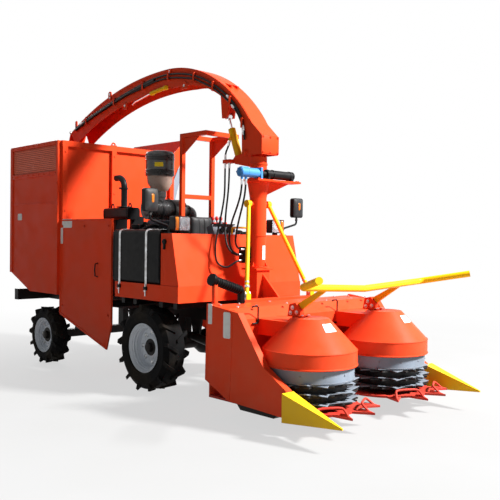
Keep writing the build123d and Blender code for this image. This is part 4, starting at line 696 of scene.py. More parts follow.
# Painted shade: the dark plate behind the holes stands for the shade inside the recess.
painted_shade_red = paint("window_shade_paint", "orange_paint", (120, 30, 20), (96, 26, 18), (80, 40, 30),
                  chips=0.0, edge=0.0)
shade_plate_outline = [(-3128, 2507), (-1922, 2507), (-1922, 2838), (-3128, 2838)]
piece("hopper_window_painted_shade", [sheet_cut(shade_plate_outline, (0, -903.5, 0), SHEET)], painted_shade_red)
print(int(hole.sum()), "holes in the window")

# %% [markdown]
# Sheet this large is stiffened with pressed ribs and rolled edges. Each rib is a shallow trapezium
# carried along a straight path, on the outside of the left wall and the gate.

# %% Ribs, edge rolls and bolts of the hopper
def rib(start, end, facing, width, proud):
    """Pressed rib: a low trapezium carried from start to end, standing proud along facing."""
    a, b = width / 2, width / 3
    return carried([(-a, -4), (a, -4), (b, proud), (-b, proud)], [start, end], facing)


piece("gate_ribs", [rib((-3226, -860, z), (-3226, 860, z), BACK, 70, 12)
                    for z in (1400, 1760, 2120, 2480)], orange, "gate")
left_ribs = [rib((x, 920, 1240), (x, 920, 2420), LEFT, 70, 12) for x in (-3020, -2660, -2300, -1960)]
left_ribs.append(rib((-3170, 920, 1950), (-1880, 920, 1950), LEFT, 50, 10))
piece("hopper_left_ribs", left_ribs, orange)
piece("hopper_edge_rolls", [
    tube([(-3176, -927, 2886), (-1874, -927, 2886)], 7),
    tube([(-3170, 1139, 3094), (-1880, 1139, 3094)], 9),
    tube([(-1866, -860, 2884), (-1866, 860, 2884)], 6)], orange)
wall_spots = [(x, z) for z in (2865, 2480) for x in np.linspace(-3130, -1930, 9)]
wall_spots += [(-3155, z) for z in np.linspace(1250, 2350, 6)]
wall_spots += [(-1895, z) for z in np.linspace(1950, 2350, 3)]
post_bolts = [(-1825, y, z) for y in (-850, -120, 850) for z in (2000, 2250, 2500, 2750)]
piece("hopper_bolts", [bolts([(x, -934, z) for x, z in wall_spots], RIGHT, 7),
                       bolts(post_bolts, FORWARD, 9)], orange)
eye = arc((-1852, -122, 2905), 26, np.linspace(0, np.pi, 8), LEFT, UP)
piece("hopper_lifting_eye", [tube(eye, 10, 10, FORWARD),
                             block((-1852, -122, 2895), (50, 80, 12), 4)], orange)
brace = [(800, 2100), (900, 2100), (1065, 2680), (985, 2680), (840, 2360)]
piece("hopper_grey_brace", [sheet_cut(brace, (-1858, 0, 0), 8, LEFT)], drum_grey)

# %% [markdown]
# ## Engine bay
# The big side panels close the bay. They have turned edges, a lift handle and two blank plates. The
# engine between them is a plain block in the CAD model, so its cover, ports, pulleys and cooling pack
# are added here where they can be seen from above and from behind the wheels.

# %% Side panels
PANEL_EDGES = ((-1850, 1874, -700, 1874), (-690, 1870, -690, 680), (-1860, 1870, -1860, 700),
               (-1850, 700, -800, 380))   # x and z of both ends
PANEL_BOLTS = (-1800, 1800), (-750, 1800), (-1800, 800), (-750, 760), (-1280, 1800)
HANDLE = (0, 1200), (35, 1210), (40, 1280), (35, 1350), (0, 1360)
panel_parts, handles = [], []
for side in (-1, 1):
    y, face = side * 892, (0, side, 0)
    panel_parts += [rib((a, y, b), (c, y, d), face, 22, 6) for a, b, c, d in PANEL_EDGES]
    panel_parts.append(bolts([(x, y + side * 4, z) for x, z in PANEL_BOLTS], face, 9))
    handles.append(tube([(-980, side * (890 + d), z) for d, z in HANDLE], 8, 10, FORWARD))
piece("panel_edges", panel_parts, orange)
piece("panel_handles", handles, black_plastic)


def blank_plate(centre, width, tall):
    """Thin blank plate with cut corners, on a wall that faces right."""
    a, b, c = width / 2, tall / 2, 0.12 * min(width, tall)
    right_half = [(a - c, -b), (a, c - b), (a, b - c), (a - c, b)]
    outline = right_half + [(-x, z) for x, z in right_half[::-1]]
    return sheet_cut(outline, np.subtract(centre, (0, SHEET / 2, 0)), SHEET)


piece("blank_plates_body", [
    blank_plate((-1700, -890, 1835), 240, 110), blank_plate((-1826, -890.5, 1680), 55, 200),
    blank_plate((-2925, -920, 1930), 120, 90)], label_white)

# %% Engine dress-up
fins = [block((x, 20, 1824), (20, 230, 20), 6, 2) for x in np.linspace(-1420, -780, 12)]
ports = [block((x, y, 1520), (90, 60, 120), 20)
         for x in np.linspace(-1400, -820, 4) for y in (-335, 335)]
piece("engine_covers", [block((-1100, 20, 1775), (780, 270, 90), 30),
                        block((-1100, 0, 1300), (940, 668, 50), 18), *fins, *ports], iron)
slats = [block((-588, 0, z), (14, 660, 10), 3, 2) for z in np.linspace(1150, 1690, 22)]
tanks = [block((-610, 0, z), (70, 740, 60), 20) for z in (1110, 1735)]
piece("radiator", [block((-615, 0, 1420), (45, 700, 600), 12), *slats, *tanks], black)
pulley = [(0, 0), (110, 0), (110, 10), (95, 18), (110, 26), (110, 36), (40, 40), (0, 40)]
idler = [(0, 0), (60, 0), (60, 10), (50, 18), (60, 26), (0, 36)]
piece("engine_pulleys", [turned(pulley, (-1564, 50, 1300), BACK, 32),
                         turned(idler, (-1564, -200, 1560), BACK, 24)], steel)
shroud_ribs = [block((-735, y, 1892), (140, 18, 10), 4, 2) for y in np.linspace(-240, 240, 9)]
piece("fan_shroud", [block((-735, 0, 1815), (170, 620, 150), 30), *shroud_ribs], drum_grey)
bay_lines = [tube(smooth_line(route), 18, 10, (1, 0.2, 0.3)) for route in (
    [(-660, -300, 1760), (-780, -340, 1860), (-950, -260, 1840), (-1050, -140, 1800)],
    [(-640, 280, 1760), (-740, 300, 1850), (-900, 220, 1850), (-1000, 120, 1810)],
    [(-620, -200, 1765), (-600, -300, 1830), (-660, -420, 1800), (-800, -440, 1700), (-850, -322, 1620)])]
filler = [(0, 50), (30, 50), (34, 40), (34, 12), (45, 8), (45, 0), (0, 0)]
piece("engine_lines", [*bay_lines, turned(filler, (-610, -260, 1763), UP, 20)], hose_rubber)

# %% [markdown]
# ## Fuel tank
# Two bright straps hold the tank down. A strap is a flat strip that starts at a threaded rod below
# the tank, runs up its side, bends over the rounded edge and lies on the top.

# %% Straps, rods, seams and cap
STRAP_X = (-459, 45)


def strap_path(x):
    """Side, quarter bend and top of one strap, as rows of points."""
    bend = arc((x, -880, 1715), 48, np.linspace(0, np.pi / 2, 8), RIGHT, UP)
    return np.concatenate([[(x, -928, 1150), (x, -928, 1700)], bend, [(x, -800, 1763), (x, -605, 1763)]])


straps = [carried(strip(5, 34), strap_path(x), FORWARD) for x in STRAP_X]
rods = [tube([(x, -936, 1040), (x, -936, 1170)], 7, 10, FORWARD) for x in STRAP_X]
piece("tank_straps", [*straps, *rods, bolts([(x, -936, 1100) for x in STRAP_X], DOWN, 14)], steel)
brackets = [block((x, -934, 1125), (60, 20, 35), 5, 2) for x in STRAP_X]
tank_seams = [tube([(x, -926, 1230), (x, -926, 1700)], 4, 8, FORWARD) for x in (-585, 270)]
tank_cap = [(0, 30), (36, 30), (50, 22), (54, 0), (0, 0)]
plug = [(0, 0), (28, 0), (30, 16), (18, 28), (0, 30)]
piece("tank_fittings", [
    *brackets, *tank_seams, turned(tank_cap, (-470, -710, 1792), UP, 24),
    turned(plug, (369, -920, 1630), RIGHT, 20), block((369, -932, 1585), (30, 22, 70), 9)],
    black_plastic)

# %% [markdown]
# ## Air cleaner and exhaust
# The pre-cleaner is a ribbed plastic pot on a dusty bowl, above a lying filter drum. Ribs are a
# wave in the turned outline: r = R + a (1 - cos(2 pi n h / H)) / 2. The exhaust gets its clamp and
# lifting eyes.

# %% Ribbed pots and clamps
def ribbed(radius, low, high, centre, axis, ribs, depth):
    """Sleeve whose radius waves along its axis."""
    h = np.linspace(0, 1, ribs * 8 + 1)
    r = radius + depth * (0.5 - 0.5 * np.cos(2 * np.pi * ribs * h))
    wave = np.column_stack([r, low + (high - low) * h])
    return turned([(radius - 4, low), *wave, (radius - 4, high)], centre, axis, 48)


pot, filter_drum = at(-500, -350, 0), at(-500, -350, 2010)
BAND_Y = (-20, 140)
lid = [(0, 2694), (100, 2694), (150, 2684), (171, 2660), (172, 2640), (168, 2640), (168, 2655),
       (148, 2676), (0, 2684)]
drum_end = [(0, 186), (90, 186), (120, 176), (128, 150), (116, 148)]
bowl = [(72, 2217), (98, 2238), (148, 2318), (153, 2396), (150, 2398), (144, 2320), (94, 2242), (70, 2222)]
elbow = smooth_line([(-500, -20, 2010), (-500, 100, 2010), (-520, 170, 1950), (-580, 160, 1850),
                     (-680, 120, 1800), (-780, 100, 1795)])
piece("air_cleaner_ribs", [
    ribbed(168, 2405, 2475, pot, UP, 4, 8), ribbed(168, 2575, 2635, pot, UP, 3, 8),
    turned(lid, pot, UP, 48),
    sleeve(70, 78, 2150, 2215, pot, UP, 32), ribbed(116, -150, 300, filter_drum, LEFT, 22, 6),
    turned(drum_end, filter_drum, RIGHT, 40), tube(elbow, 64, 20, (1, 0, 0.2))], pot_plastic)
dusty_bowl = moulded("dusty_bowl", "black_plastic", (150, 128, 118), (104, 88, 82), 0.24,
                     grain=40, edge=0.002, dust=0.3)
piece("air_cleaner_bowl", [turned(bowl, pot, UP, 48)], dusty_bowl)
bands = [sleeve(121, 125.5, y - 12, y + 12, filter_drum, LEFT, 40) for y in BAND_Y]
bands += [sleeve(66, 70, -10, 10, elbow[k], elbow[k + 1] - elbow[k - 1], 28) for k in (5, -6)]
piece("air_cleaner_bands", [*bands, bolts([filter_drum + (0, y, 128) for y in BAND_Y], UP, 8)], black)
stripe = curved_plate(pot, 169.5, 170.5, 2500, 2550, np.linspace(-1.02, -0.42, 14))
piece("air_cleaner_stripe", [stripe], label_yellow)

# %% Exhaust clamp and lifting eyes
pipe = at(-1110, -440, 0)
half_turn = np.linspace(0, np.pi, 12)
eyes = [tube(arc((x, -440, 2038), 1, half_turn, (28, 0, 0), (0, 0, 50)), 8, 10, LEFT)
        for x in (-1360, -980)]
exhaust_seams = [tube([(x, -531, 1905), (x, -531, 2020)], 4, 8, FORWARD) for x in (-1420, -920)]
piece("exhaust_fittings", [
    sleeve(38, 46, 2262, 2286, pipe, UP, 28), block(pipe + (0, -55, 2274), (12, 40, 22), 4, 2),
    bolts([pipe + (6, -62, 2274)], FORWARD, 8), *eyes, block(pipe + (0, 0, 2045), (140, 140, 16), 6, 2),
    *exhaust_seams], black)

# %% [markdown]
# ## Spout
# The spout is a folded sheet box bent into an arch. Flat strips stiffen its edges, lugs are welded
# on for lifting, and two pipes run along its right side in clips to the flap's end. The arch is made
# of circular arcs, so a strip follows z = c + sqrt(R R - (x - a)(x - a)) with a slightly smaller R.

# %% Edge strips, lugs and pins
def arch(a, c, radius, low, high, count):
    """Points of a circular arc in the middle plane, from one station to another."""
    x = np.linspace(low, high, count)
    return np.column_stack([x, np.zeros(count), c + np.sqrt(radius ** 2 - (x - a) ** 2)])


def lug(x, z, tall, width=75, side=-1):
    """Welded ear on the spout's side: a rounded plate that stands up from z."""
    r = width / 2
    crown = arc((x, z + tall - r), r, np.linspace(0, np.pi, 9), (1, 0), (0, 1))
    return sheet_cut([(x - r, z), (x + r, z), *crown], (0, side * 133, 0), 12)


outer_edge = np.concatenate([arch(-700, -1108, 4820, -2920, -720, 30),
                             arch(-700, 1889, 1823, -660, 780, 26)])
inner_edge = arch(-390, 2177, 1321, -360, 640, 20)
edge_strips = []
for edge in (outer_edge, inner_edge):
    for side in (-1, 1):
        edge_strips += [carried(strip(30, 8), edge + (0, side * 127.5, 0), LEFT),
                        bolts(edge[2:-1:4] + (0, side * 131, 0), (0, side, 0), 6)]
piece("spout_edge_strips", edge_strips, orange, "spout")
hinge_pin = [(0, 20), (20, 18), (24, 10), (24, 0), (34, 0), (34, -6), (0, -6)]
piece("spout_lugs", [
    lug(-620, 3640, 86), lug(-1930, 3520, 110), lug(-1930, 3520, 110, side=1), lug(-1570, 3350, 90),
    lug(-2800, 3180, 150, 50), lug(-330, 3440, 90, 110),
    *(turned(hinge_pin, (736, side * 131, 2610), (0, side, 0), 20) for side in (-1, 1))], orange, "spout")
knee_bolts = [(990, y, z) for y in (-110, 0, 110) for z in (2600, 2760)]
piece("spout_knee_plate", [block((984, 0, 2680), (10, 262, 190), 4, 2),
                           bolts(knee_bolts, FORWARD, 8)], orange, "spout")
lug_spots = (-620, 3690), (-1930, 3590), (-1930, 3545), (-1570, 3395), (-330, 3480)
piece("spout_lug_bolts", [bolts([(x, -139, z) for x, z in lug_spots], RIGHT, 9)], steel, "spout")

# %% Pipes, clips and the flap's cylinder
PIPE_RUN = ((-2800, 3205), (-2500, 3300), (-2174, 3385), (-1800, 3475), (-1456, 3547), (-1150, 3600),
            (-913, 3633), (-620, 3640), (-335, 3600), (-130, 3548), (53, 3475), (210, 3395), (351, 3305),
            (500, 3190), (618, 3070), (700, 2930), (735, 2760))
run = np.array([(x, -143, z) for x, z in PIPE_RUN])
dip = 16 + 16 * np.sin(np.arange(len(run) - 4) * 1.3) ** 2
upper_pipe = smooth_line(run + (0, 0, 20))
lower_pipe = smooth_line(run[4:] - np.outer(dip, UP))
jacket = smooth_line(run[:7] - (0, 0, 4))
piece("spout_pipes", [tube(line, r, 12, LEFT) for line, r in (
    (upper_pipe, 11), (lower_pipe, 11), (jacket, 18))], hose_rubber, "spout")
clip = [(-14, -55), (14, -55), (14, 52), (-14, 52)]
clips = [sheet_cut(clip, spot - (0, 19, 0), 4) for spot in run[1:-1:2]]
clip_feet = [block(spot + (0, 2, z), (28, 40, 8), 3, 2) for spot in run[1:-1:2] for z in (-52, 48)]
piece("spout_pipe_clips", clips + clip_feet, orange, "spout")
union = [(0, -30), (14, -30), (14, -8), (18, -6), (18, 6), (14, 8), (14, 30), (0, 30)]
piece("spout_pipe_unions", [turned(union, line[k], line[k + 1] - line[k - 1], 12) for line, k in (
    (upper_pipe, -30), (lower_pipe, -24), (upper_pipe, -4), (lower_pipe, -4), (upper_pipe, 3))],
    steel, "spout")
start, bend_at = at(-985, -150, 3470), (-1320, -150, 3405)
way = unit(at(-645, -150, 3505) - start)
barrel = [(0, 0), (14, 0), (24, 10), (24, 300), (27, 302), (27, 325), (12, 328), (0, 328)]
mounts = [block(start + way * d + (0, 14, 0), (50, 28, 50), 6, 2) for d in (30, 310)]
piece("flap_cylinder", [turned(barrel, start, way, 24), *mounts], yellow, "spout")
piece("flap_rod", [tube([start + way * 5, bend_at], 9, 12, LEFT),
                   tube([bend_at, (-1400, -130, 3385)], 9, 12, LEFT)], chrome, "spout")
pin_cap = [(0, 14), (16, 12), (20, 4), (20, -4), (0, -4)]
piece("flap_pin_caps", [turned(pin_cap, (-2964, side * 131, 3177), (0, side, 0), 20) for side in (-1, 1)],
      steel, "spout")

# %% [markdown]
# ## Pillar and slewing drive
# The pillar carries the spout on a bolted flange. A hydraulic motor turns it through the geared
# shaft across the top, and two yellow stays with threaded feet hold the pillar from the front beam.

# %% Pillar, motor and stays
pillar = at(811, 0, 0)
motor_face, gear_axis = at(976, -430, 2363), at(976, 0, 2363)
pillar_plate = curved_plate(pillar, 91.5, 94.5, 1450, 1600, np.linspace(-0.16, 0.30, 9))
piece("pillar_plate", [pillar_plate], label_white)
top_spots = (860, 360), (960, 410), (1020, 410), (1020, 380), (1020, -200), (860, -200)
gusset = [(85, 1377), (120, 1377), (94, 1425), (85, 1425)]
gusset_outs = arc((0, 0, 0), 1, np.radians([20, 110, 200, 290]))
piece("pillar_fittings", [
    bolts(arc(pillar + (0, 0, 1377), 109, np.arange(10) * np.pi / 5), UP, 9),
    bolts([(x, y, 2305) for x, y in top_spots], UP, 10), sleeve(90, 96.5, 1700, 1716, pillar, UP, 48),
    *(sheet_cut(gusset, pillar, 8, out) for out in gusset_outs)], orange)
turret_ring = [(90, 2470), (98.5, 2472), (98.5, 2492), (90, 2494)]
piece("turret_ring", [turned(turret_ring, pillar, UP, 48)], orange, "turret")
motor_end = [(0, 12), (30, 12), (44, 6), (51.5, -4), (51.5, -22), (49, -24), (49, -90), (51.5, -92),
             (51.5, -104), (49, -106)]
motor_bolts = arc(motor_face - (0, 8, 0), 38, np.arange(6) * np.pi / 3, along=UP)
piece("motor_fittings", [
    turned(motor_end, motor_face, RIGHT, 40), block((976, -168, 2363), (112, 22, 112), 10),
    block((976, -372, 2408), (50, 95, 22), 6), bolts(motor_bolts, RIGHT, 6)], motor_blue)
collar = [(40, -10), (52, -10), (53, 0), (52, 10), (40, 10)]
shaft_end = [(0, 358), (36, 358), (50, 350), (50, 335), (0, 335)]
piece("gear_collars", [
    *(turned(np.add(collar, (0, y)), gear_axis, LEFT, 36) for y in (-45, 40, 300)),
    turned(shaft_end, gear_axis, LEFT, 36), sleeve(0, 28, -158, -55, gear_axis, LEFT, 24)], black)
cheek = [(-26, 1045), (26, 1045), (26, 1120), (12, 1140), (-12, 1140), (-26, 1120)]
stay_feet = []
for side, y in ((-1, -477), (1, 491)):
    foot = at(1150, y, 1090)
    way = at(821, side * 150, 2050) - foot
    stay_feet += [sleeve(0, 30, 95, 118, foot, way, 6), sleeve(0, 24.5, 150, 162, foot, way, 24)]
    stay_feet += [sheet_cut(cheek, (1150, y + d, 0), 8) for d in (-30, 30)]
    stay_feet += [bolts([(1150, y + s * 34, 1095)], (0, s, 0), r) for s, r in ((-1, 12), (1, 10))]
piece("stay_feet", stay_feet, steel)

# %% [markdown]
# ## Drums and header
# Sharp rotating teeth cut the stalks and the fixed fingers below guide them in. Each ring is a flat
# star whose tips are bent up and down in turn, so one small array of corners gives all the teeth.

# %% Toothed rings
TEETH = 16
drum_at = {side: at(2087, side * 570, 0) for side in (-1, 1)}
tooth_grey = paint("tooth_enamel", "drum_grey", (132, 140, 150), (112, 118, 126), (84, 82, 80),
                   roughness=0.40, shine=0.15, dust=0.0, chips=0.4, edge=0.002)


def toothed_ring(centre, level, lean, tip=447, root=388, inside=345, bend=16):
    """Star-shaped sheet: corners at the root and tip radii in turn, and tips bent up and down in turn."""
    step = 2 * np.pi / TEETH
    turn = (np.arange(TEETH)[:, None] * step + [0, lean * step]).ravel()
    star, flat = np.tile([root, tip], TEETH), np.zeros(2 * TEETH)
    sway = flat.copy()
    sway[1::2] = bend * np.where(np.arange(TEETH) % 2, 1, -0.45)
    section = ((inside, flat + 14.5), (star, sway + 14.5), (star, sway + 21.5), (inside, flat + 21.5),
               (inside, flat + 14.5))
    points = [arc(centre, r, turn) + np.outer(level + rise, UP) for r, rise in section]
    return np.concatenate(points), quads(len(section), len(turn))


seam = [(400, 0), (407.5, 2), (407.5, 8), (400, 10)]
for side, body, lean in ((-1, "drum_right", 0.72), (1, "drum_left", 0.28)):
    centre = drum_at[side]
    piece(body + "_teeth", [toothed_ring(centre, z, lean) for z in (405, 325, 245)], tooth_grey, body, 20)
    outs = arc((0, 0, 0), 1, np.arange(12) * np.pi / 6)
    band_bolts = [bolts([centre + out * 404 + (0, 0, 500)], out, 6) for out in outs]
    band_seams = [turned(np.add(seam, (0, z)), centre, UP, 64) for z in (436, 540)]
    piece(body + "_band_fittings", band_bolts + band_seams, drum_grey, body)

# %% [markdown]
# The hoods above the drums stand still. A rolled bead runs round each lower edge, a cover strip lies
# over the joint of the rolled cone, and a blank plate sits where the maker's picture was.

# %% Hood seams and blank plates
def on_cone(centre, turn, r, lift):
    """Points on a hood's cone, which falls from radius 170 at z 965 to radius 430 at z 690."""
    z = 965 - (r - 170) / 260 * 275
    return arc(centre, r + lift * 0.727, turn) + np.outer(z + lift * 0.687, UP)


def cone_patch(centre, turn, radii, lift):
    """Curved plate on the cone: the same grid twice, once just under the cone and once lifted off it."""
    t, r = (grid.ravel() for grid in np.meshgrid(turn, radii))
    return shell(on_cone(centre, t, r, -2), on_cone(centre, t, r, lift), len(radii), len(turn))


low_bead = [(424, 556), (434, 552), (437, 558), (434, 566), (428, 568)]
high_bead = [(426, 683), (432.5, 686), (433, 692), (428, 697)]
hood_seams, hood_plates = [], []
for side, seam_at, plate_at in ((-1, -2.44, -0.06), (1, -2.71, 0.12)):
    centre = drum_at[side]
    seam, plate = seam_at + np.linspace(-0.07, 0.07, 5), plate_at + np.linspace(-0.26, 0.26, 9)
    hood_seams += [cone_patch(centre, seam, np.linspace(175, 428, 6), 4),
                   turned(low_bead, centre, UP, 72), turned(high_bead, centre, UP, 72)]
    hood_plates.append(cone_patch(centre, plate, np.linspace(205, 268, 4), 3))
piece("hood_seams", hood_seams, orange, "header")
piece("hood_plates", hood_plates, label_white, "header")
piece("header_side_plates", [blank_plate((1292, -1080.5, 965), 55, 190),
                             blank_plate((1527, -1080.5, 880), 95, 240)], label_white, "header")

# %% Brackets, hooks and the folded edge of the header
BRACKET_Y = (-570, 570)
header_bolts = [bolts([(x, y, 1041) for x in (1300, 1540) for y in (-960, -720, -300, 300, 720, 960)],
                      UP, 10)]
for y in BRACKET_Y:
    header_bolts += [
        bolts([(x, y - 41, z) for x, z in ((1905, 1045), (1955, 1005), (1880, 995))], RIGHT, 12),
        bolts([(x, y + 11.5, z) for x, z in ((1905, 1045), (1955, 1005))], LEFT, 12),
        bolts([(2030, y + d, 979) for d in (-45, 45)], UP, 10)]
piece("header_bolts", header_bolts, steel, "header")
piece("cover_hooks", [tube([
    (1600, y - 70, 1035), (1612, y - 60, 1046), (1612, y - 10, 1046), (1614, y, 1036), (1614, y, drop + 12),
    (1614, y - 12, drop), (1614, y - 70, drop)], 8, 10, (1, 0.1, 0.1))
    for y, drop in ((-768, 886), (392, 812))], black, "header")
fold_lines = (1245, 360, 1252, 1030), (1570, 205, 1600, 980)
piece("header_side_folds", [rib((a, side * 1078, b), (c, side * 1078, d), (0, side, 0), 20, 6)
                            for side in (-1, 1) for a, b, c, d in fold_lines], orange, "header")

# %% Fingers and guard hoops
finger = [(0, 0), (20, 0), (24, 20), (19, 90), (4, 152), (0, 154)]
reach = (585, 530, 505, 495, 505, 530, 585)
rise = (190, 236, 254, 258, 254, 236, 190)
angles = np.radians([-42, -14, 14, 42])
fingers, hoops = [], []
for centre in drum_at.values():
    fingers += [turned(finger, centre + out * 485 + (0, 0, 187), out - (0, 0, 0.02), 16)
                for out in arc((0, 0, 0), 1, angles)]
    for a, b in (angles[:2], angles[2:]):
        turn = (a, a, a + 0.03, (a + b) / 2, b - 0.03, b, b)
        hoop = arc(centre, reach, turn) + np.outer(rise, UP)
        hoops.append(tube(smooth_line(hoop), 11, 12, (1, 0, 0.2)))
piece("finger_points", fingers, red, "header")
piece("guard_hoops", hoops, red, "header")

# %% [markdown]
# A black ribbed boot covers the drive between chopper and header. It stands on a post at the header's
# rear edge, so it lifts with the header.

# %% Drive boot
boot_at, boot_end = at(1262, -1020, 1278), at(1262, -660, 1165)
h = np.linspace(0, np.linalg.norm(boot_end - boot_at), 70)
folds = np.column_stack([42 + 5 * np.cos(h * 2 * np.pi / 30), h])
boot = [(0, -30), (58, -30), (62, -10), (58, 0), *folds, (0, h[-1])]
piece("drive_boot", [turned(boot, boot_at, boot_end - boot_at, 28),
                     block((1262, -660, 1105), (50, 70, 150), 14)], black_plastic, "header")
piece("drive_boot_post", [block((1262, -1000, 1145), (45, 45, 220), 6, 2),
                          block((1262, -990, 1050), (40, 90, 14), 4, 2)], orange, "header")

# %% Bracket covers of the push bar and the hose block
cover = [(1843, 962), (2001, 962), (2001, 1032), (1939, 1094), (1863, 1074)]
piece("push_bar_brackets", [shape for y in BRACKET_Y for shape in (
    sheet_cut(cover, (0, y - 15, 0), 54), block((1964.5, y, 972.5), (92, 127, 18), 4, 2))],
    orange, "header")
port_spots = (738, 1440), (705, 1492), (738, 1500), (766, 1555)
piece("hose_block_cover", [block((738.5, -105, 1498), (131, 94, 178), 10), *(
    sleeve(0, 18, 0, 14, (x, -151, z), RIGHT, 6) for x, z in port_spots)], black)

# %% [markdown]
# ## Lamps and mirrors
# A headlamp is a bowl with a bright inside behind a clear lens, and a small amber lens at its outer
# end. The lens is a grid that bulges forward: x = x0 + d (1 - u^4)(1 - v^4). Vertical flutes are a
# fine wave added to it. The mirrors have crowned shells with an amber reflector in front and glass
# behind.

# %% Lenses, reflectors and glass
FLUTE = 0.8


def bulged(centre, width, tall, depth, facing=1, flutes=0, n=25):
    """Closed lens or shell facing x: a grid that bulges by depth (1 - u^4)(1 - v^4) over a flat back."""
    u, v = np.meshgrid(np.linspace(-1, 1, n), np.linspace(-1, 1, n))
    fluted = (flutes > 0) * (np.abs(u) < 0.95) * (np.abs(v) < 0.95)
    swell = depth * (1 - u ** 4) * (1 - v ** 4) + FLUTE * np.cos(u * np.pi * flutes) * fluted
    shrink = 1 - 0.06 * (u * v) ** 2
    grid = np.stack([facing * swell, u * shrink * width / 2, v * shrink * tall / 2], -1)
    front = grid.reshape(-1, 3) + centre
    back = front.copy()
    back[:, 0] = centre[0] - facing * 3
    return shell(front, back, n, n)


reflector_silver = metal("lamp_reflector", "rim_silver", (228, 230, 232), (206, 208, 210), 0.18, 0.0005)
bezel_corners = (0, 100, 75), (0, 100, -75), (0, -100, -75), (0, -100, 75), (0, 100, 75)
bulb_ring = [(50, 4), (46, 6), (20, 3), (0, 3)]
mirror_foot = [(0, -30), (16, -30), (16, -6), (12, 0), (12, 12), (0, 12)]
lenses, ambers, reflectors, bezels, mirror_shells, glasses, markers = ([] for _ in range(7))
for side in (-1, 1):
    y = side * 725
    bulb = (410.5, y - side * 26, 1824)
    reflectors += [bulged(bulb, 140, 142, 2), turned(bulb_ring, bulb, FORWARD, 32)]
    lenses.append(bulged((418.5, y - side * 26, 1824), 140, 144, 12, 1, 16))
    ambers.append(bulged((412.5, y + side * 72, 1824), 50, 144, 14, 1, 6))
    loop = at(412, y, 1824) + bezel_corners
    bezels += [block((a + b) / 2, np.abs(b - a) + 10, 4, 2) for a, b in zip(loop, loop[1:])]
    bezels.append(block((414, y + side * 46, 1824), (12, 6, 150), 2, 2))
    y = side * 1110
    mirror_shells += [bulged((388, y, 2060), 169, 238, 22), turned(mirror_foot, (360, y, 1932), UP, 16)]
    glasses.append(bulged((330.5, y, 2060), 150, 220, 2, -1))
    markers.append(bulged((408.5, y, 2075), 34, 90, 8))
piece("lamp_reflectors", reflectors, reflector_silver)
piece("lamp_lenses", lenses, lens)
piece("lamp_ambers", ambers, amber)
piece("lamp_bezels", bezels, black_plastic)
piece("mirror_shells", mirror_shells, dark_plastic)
piece("mirror_glass", glasses, mirror_glass)
piece("mirror_markers", markers, amber)

# %% [markdown]
# ## Driver's place
# The seat is upholstered in black vinyl over foam. A cushion is a closed form that is crowned in the
# middle, whose sides pull in between the corners and whose top is drawn down along sewn lines. The
# surface is worked out directly, with the crown (1 - u^6)(1 - v^6) to a power that sets its fullness.

# %% Padded seat
def cushion(centre, size, crown_axis, seams=(-0.45, 0.0, 0.45), fill=0.5, n=61):
    """Padded form on a grid: thickness h ((1 - u^6)(1 - v^6))^fill, less a groove at each sewn line."""
    u, v = np.meshgrid(np.linspace(-1, 1, n), np.linspace(-1, 1, n))
    full = ((1 - u ** 6) * (1 - v ** 6)) ** fill
    grooves = sum(np.exp(-((u - k) / 0.035) ** 2) for k in seams)
    front = full * (1 - 0.20 * grooves) * (0.93 + 0.07 * (1 - u ** 2) * (1 - v ** 2))
    corner = 1 - 0.05 * (u * v) ** 4
    plan = [u * (1 - 0.035 * (1 - v ** 2)) * corner, v * (1 - 0.035 * (1 - u ** 2)) * corner]
    sheets = []
    for rise in (front, -0.90 * full):
        axes = plan[:crown_axis] + [rise] + plan[crown_axis:]
        sheets.append(np.stack(axes, -1).reshape(-1, 3) * np.asarray(size) / 2 + centre)
    flat = np.array(quads(n, n, False))
    return np.concatenate(sheets), np.concatenate([flat, flat + n * n]).tolist()


def vinyl():
    """Black vinyl with leather grain, soft creases and a sheen that changes in clouds."""
    material, tree, shader = new_finish("seat_vinyl", "black_plastic", 0.5, shine=0.25)
    wire(tree, shader.inputs["Base Color"], clouds(tree, ((22, 22, 23), (38, 37, 37)), 9, 5, 0.42, 0.68))
    gloss(tree, shader, 14, 4, 0.42, 0.62)
    grain = add(tree, "TexVoronoi", {"Vector": place_in(tree), "Scale": 420})["Distance"]
    relief(tree, shader, calc(tree, "ADD", grain, noise(tree, 30, 4)), 0.35, 0.0012)
    return material


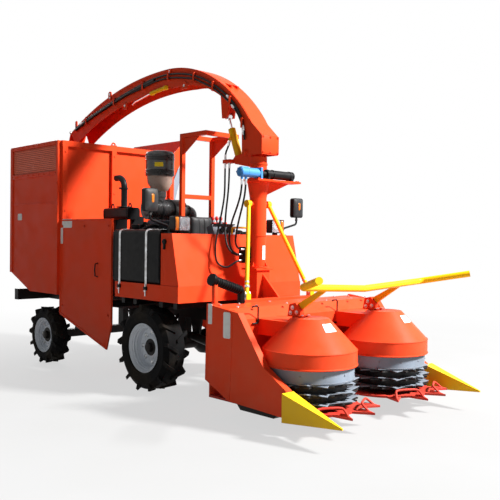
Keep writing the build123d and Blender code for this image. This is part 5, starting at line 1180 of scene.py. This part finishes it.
seat_vinyl = vinyl()
seat_pad = piece("seat_cushion", [cushion((-110, 60, 1530), (256, 396, 100), 2)], seat_vinyl, smooth=50)
back_pad = piece("seat_back", [cushion((-195, 60, 1750), (88, 376, 356), 0)], seat_vinyl, smooth=50)
h = np.linspace(0, 1, 65)
turn = np.arange(48) * 2 * np.pi / 48
plan = np.column_stack([np.cos(turn), np.sin(turn), np.zeros(48)])
square = np.sign(plan) * np.abs(plan) ** 0.35
wave = zip(165 + 10 * np.cos(h * 12 * np.pi), 1176 + 270 * h)
bellows = [square * (r, r * 1.1, 0) + (-210, 60, z) for r, z in wave]
piece("seat_base", [(np.concatenate(bellows), capped(65, 48)),
                    block((-190, 60, 1464), (340, 376, 40), 14),
                    block((-246, 60, 1600), (20, 200, 280), 8)], black_plastic)
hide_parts("seat")

# %% Console, handrail, mat and steering wheel
knob = [(0, 30), (12, 28), (21, 12), (21, -4), (12, -20), (9, -36), (0, -36)]
dial = [(0, 4), (26, 4), (30, 10), (34, 10), (34, 0), (0, 0)]
grips = [turned(knob, (178, y, 1895), (-0.1, 0, 1), 24) for y in (-100, -40, 20)]
grips += [block((235, y, 1842), (50, 34, 26), 8) for y in (-135, -70)]
piece("lever_grips", grips, knob_red)
piece("console_dials", [
    *(turned(dial, (289.5, y, 1775), FORWARD, 28) for y in (-50, 40)),
    block((291, 115, 1775), (10, 50, 60), 4), block((240, 0, 1832), (88, 300, 14), 5)],
    black_plastic)
rail = [(450, y, z) for y, z in ((-50, 1716), (-50, 1780), (-40, 1795), (20, 1797), (270, 1797),
                                 (330, 1795), (340, 1780), (340, 1716))]
piece("handrail", [tube(smooth_line(rail), 11, 14, FORWARD)], yellow)
mat_ribs = [block((90, y, 1180), (240, 14, 6), 2, 2) for y in np.linspace(-190, 290, 17)]
piece("floor_mat", [block((90, 50, 1174.5), (260, 560, 10), 4, 2), *mat_ribs], hose_rubber)
wheel_at, hub_at, lean = at(115, 220, 1715), (115, 220, 1712), (0.93, 0, 0.30)
wheel_hub = [(0, 30), (22, 26), (34, 10), (34, -10), (0, -12)]
wheel_rim = arc(wheel_at, 150, np.linspace(0, 2 * np.pi, 41), lean)
spokes = arc(wheel_at, 150, np.radians([90, 210, 330]), lean)
piece("steering_wheel", [
    tube([(220, 220, 1180), (120, 220, 1700)], 24, 16, LEFT), tube(wheel_rim, 13, 12, (-0.3, 0, 1)),
    turned(wheel_hub, hub_at, (-0.3, 0, 1), 24),
    *(tube([hub_at, end], 10, 10, (-0.3, 0.1, 1)) for end in spokes)], black_plastic)
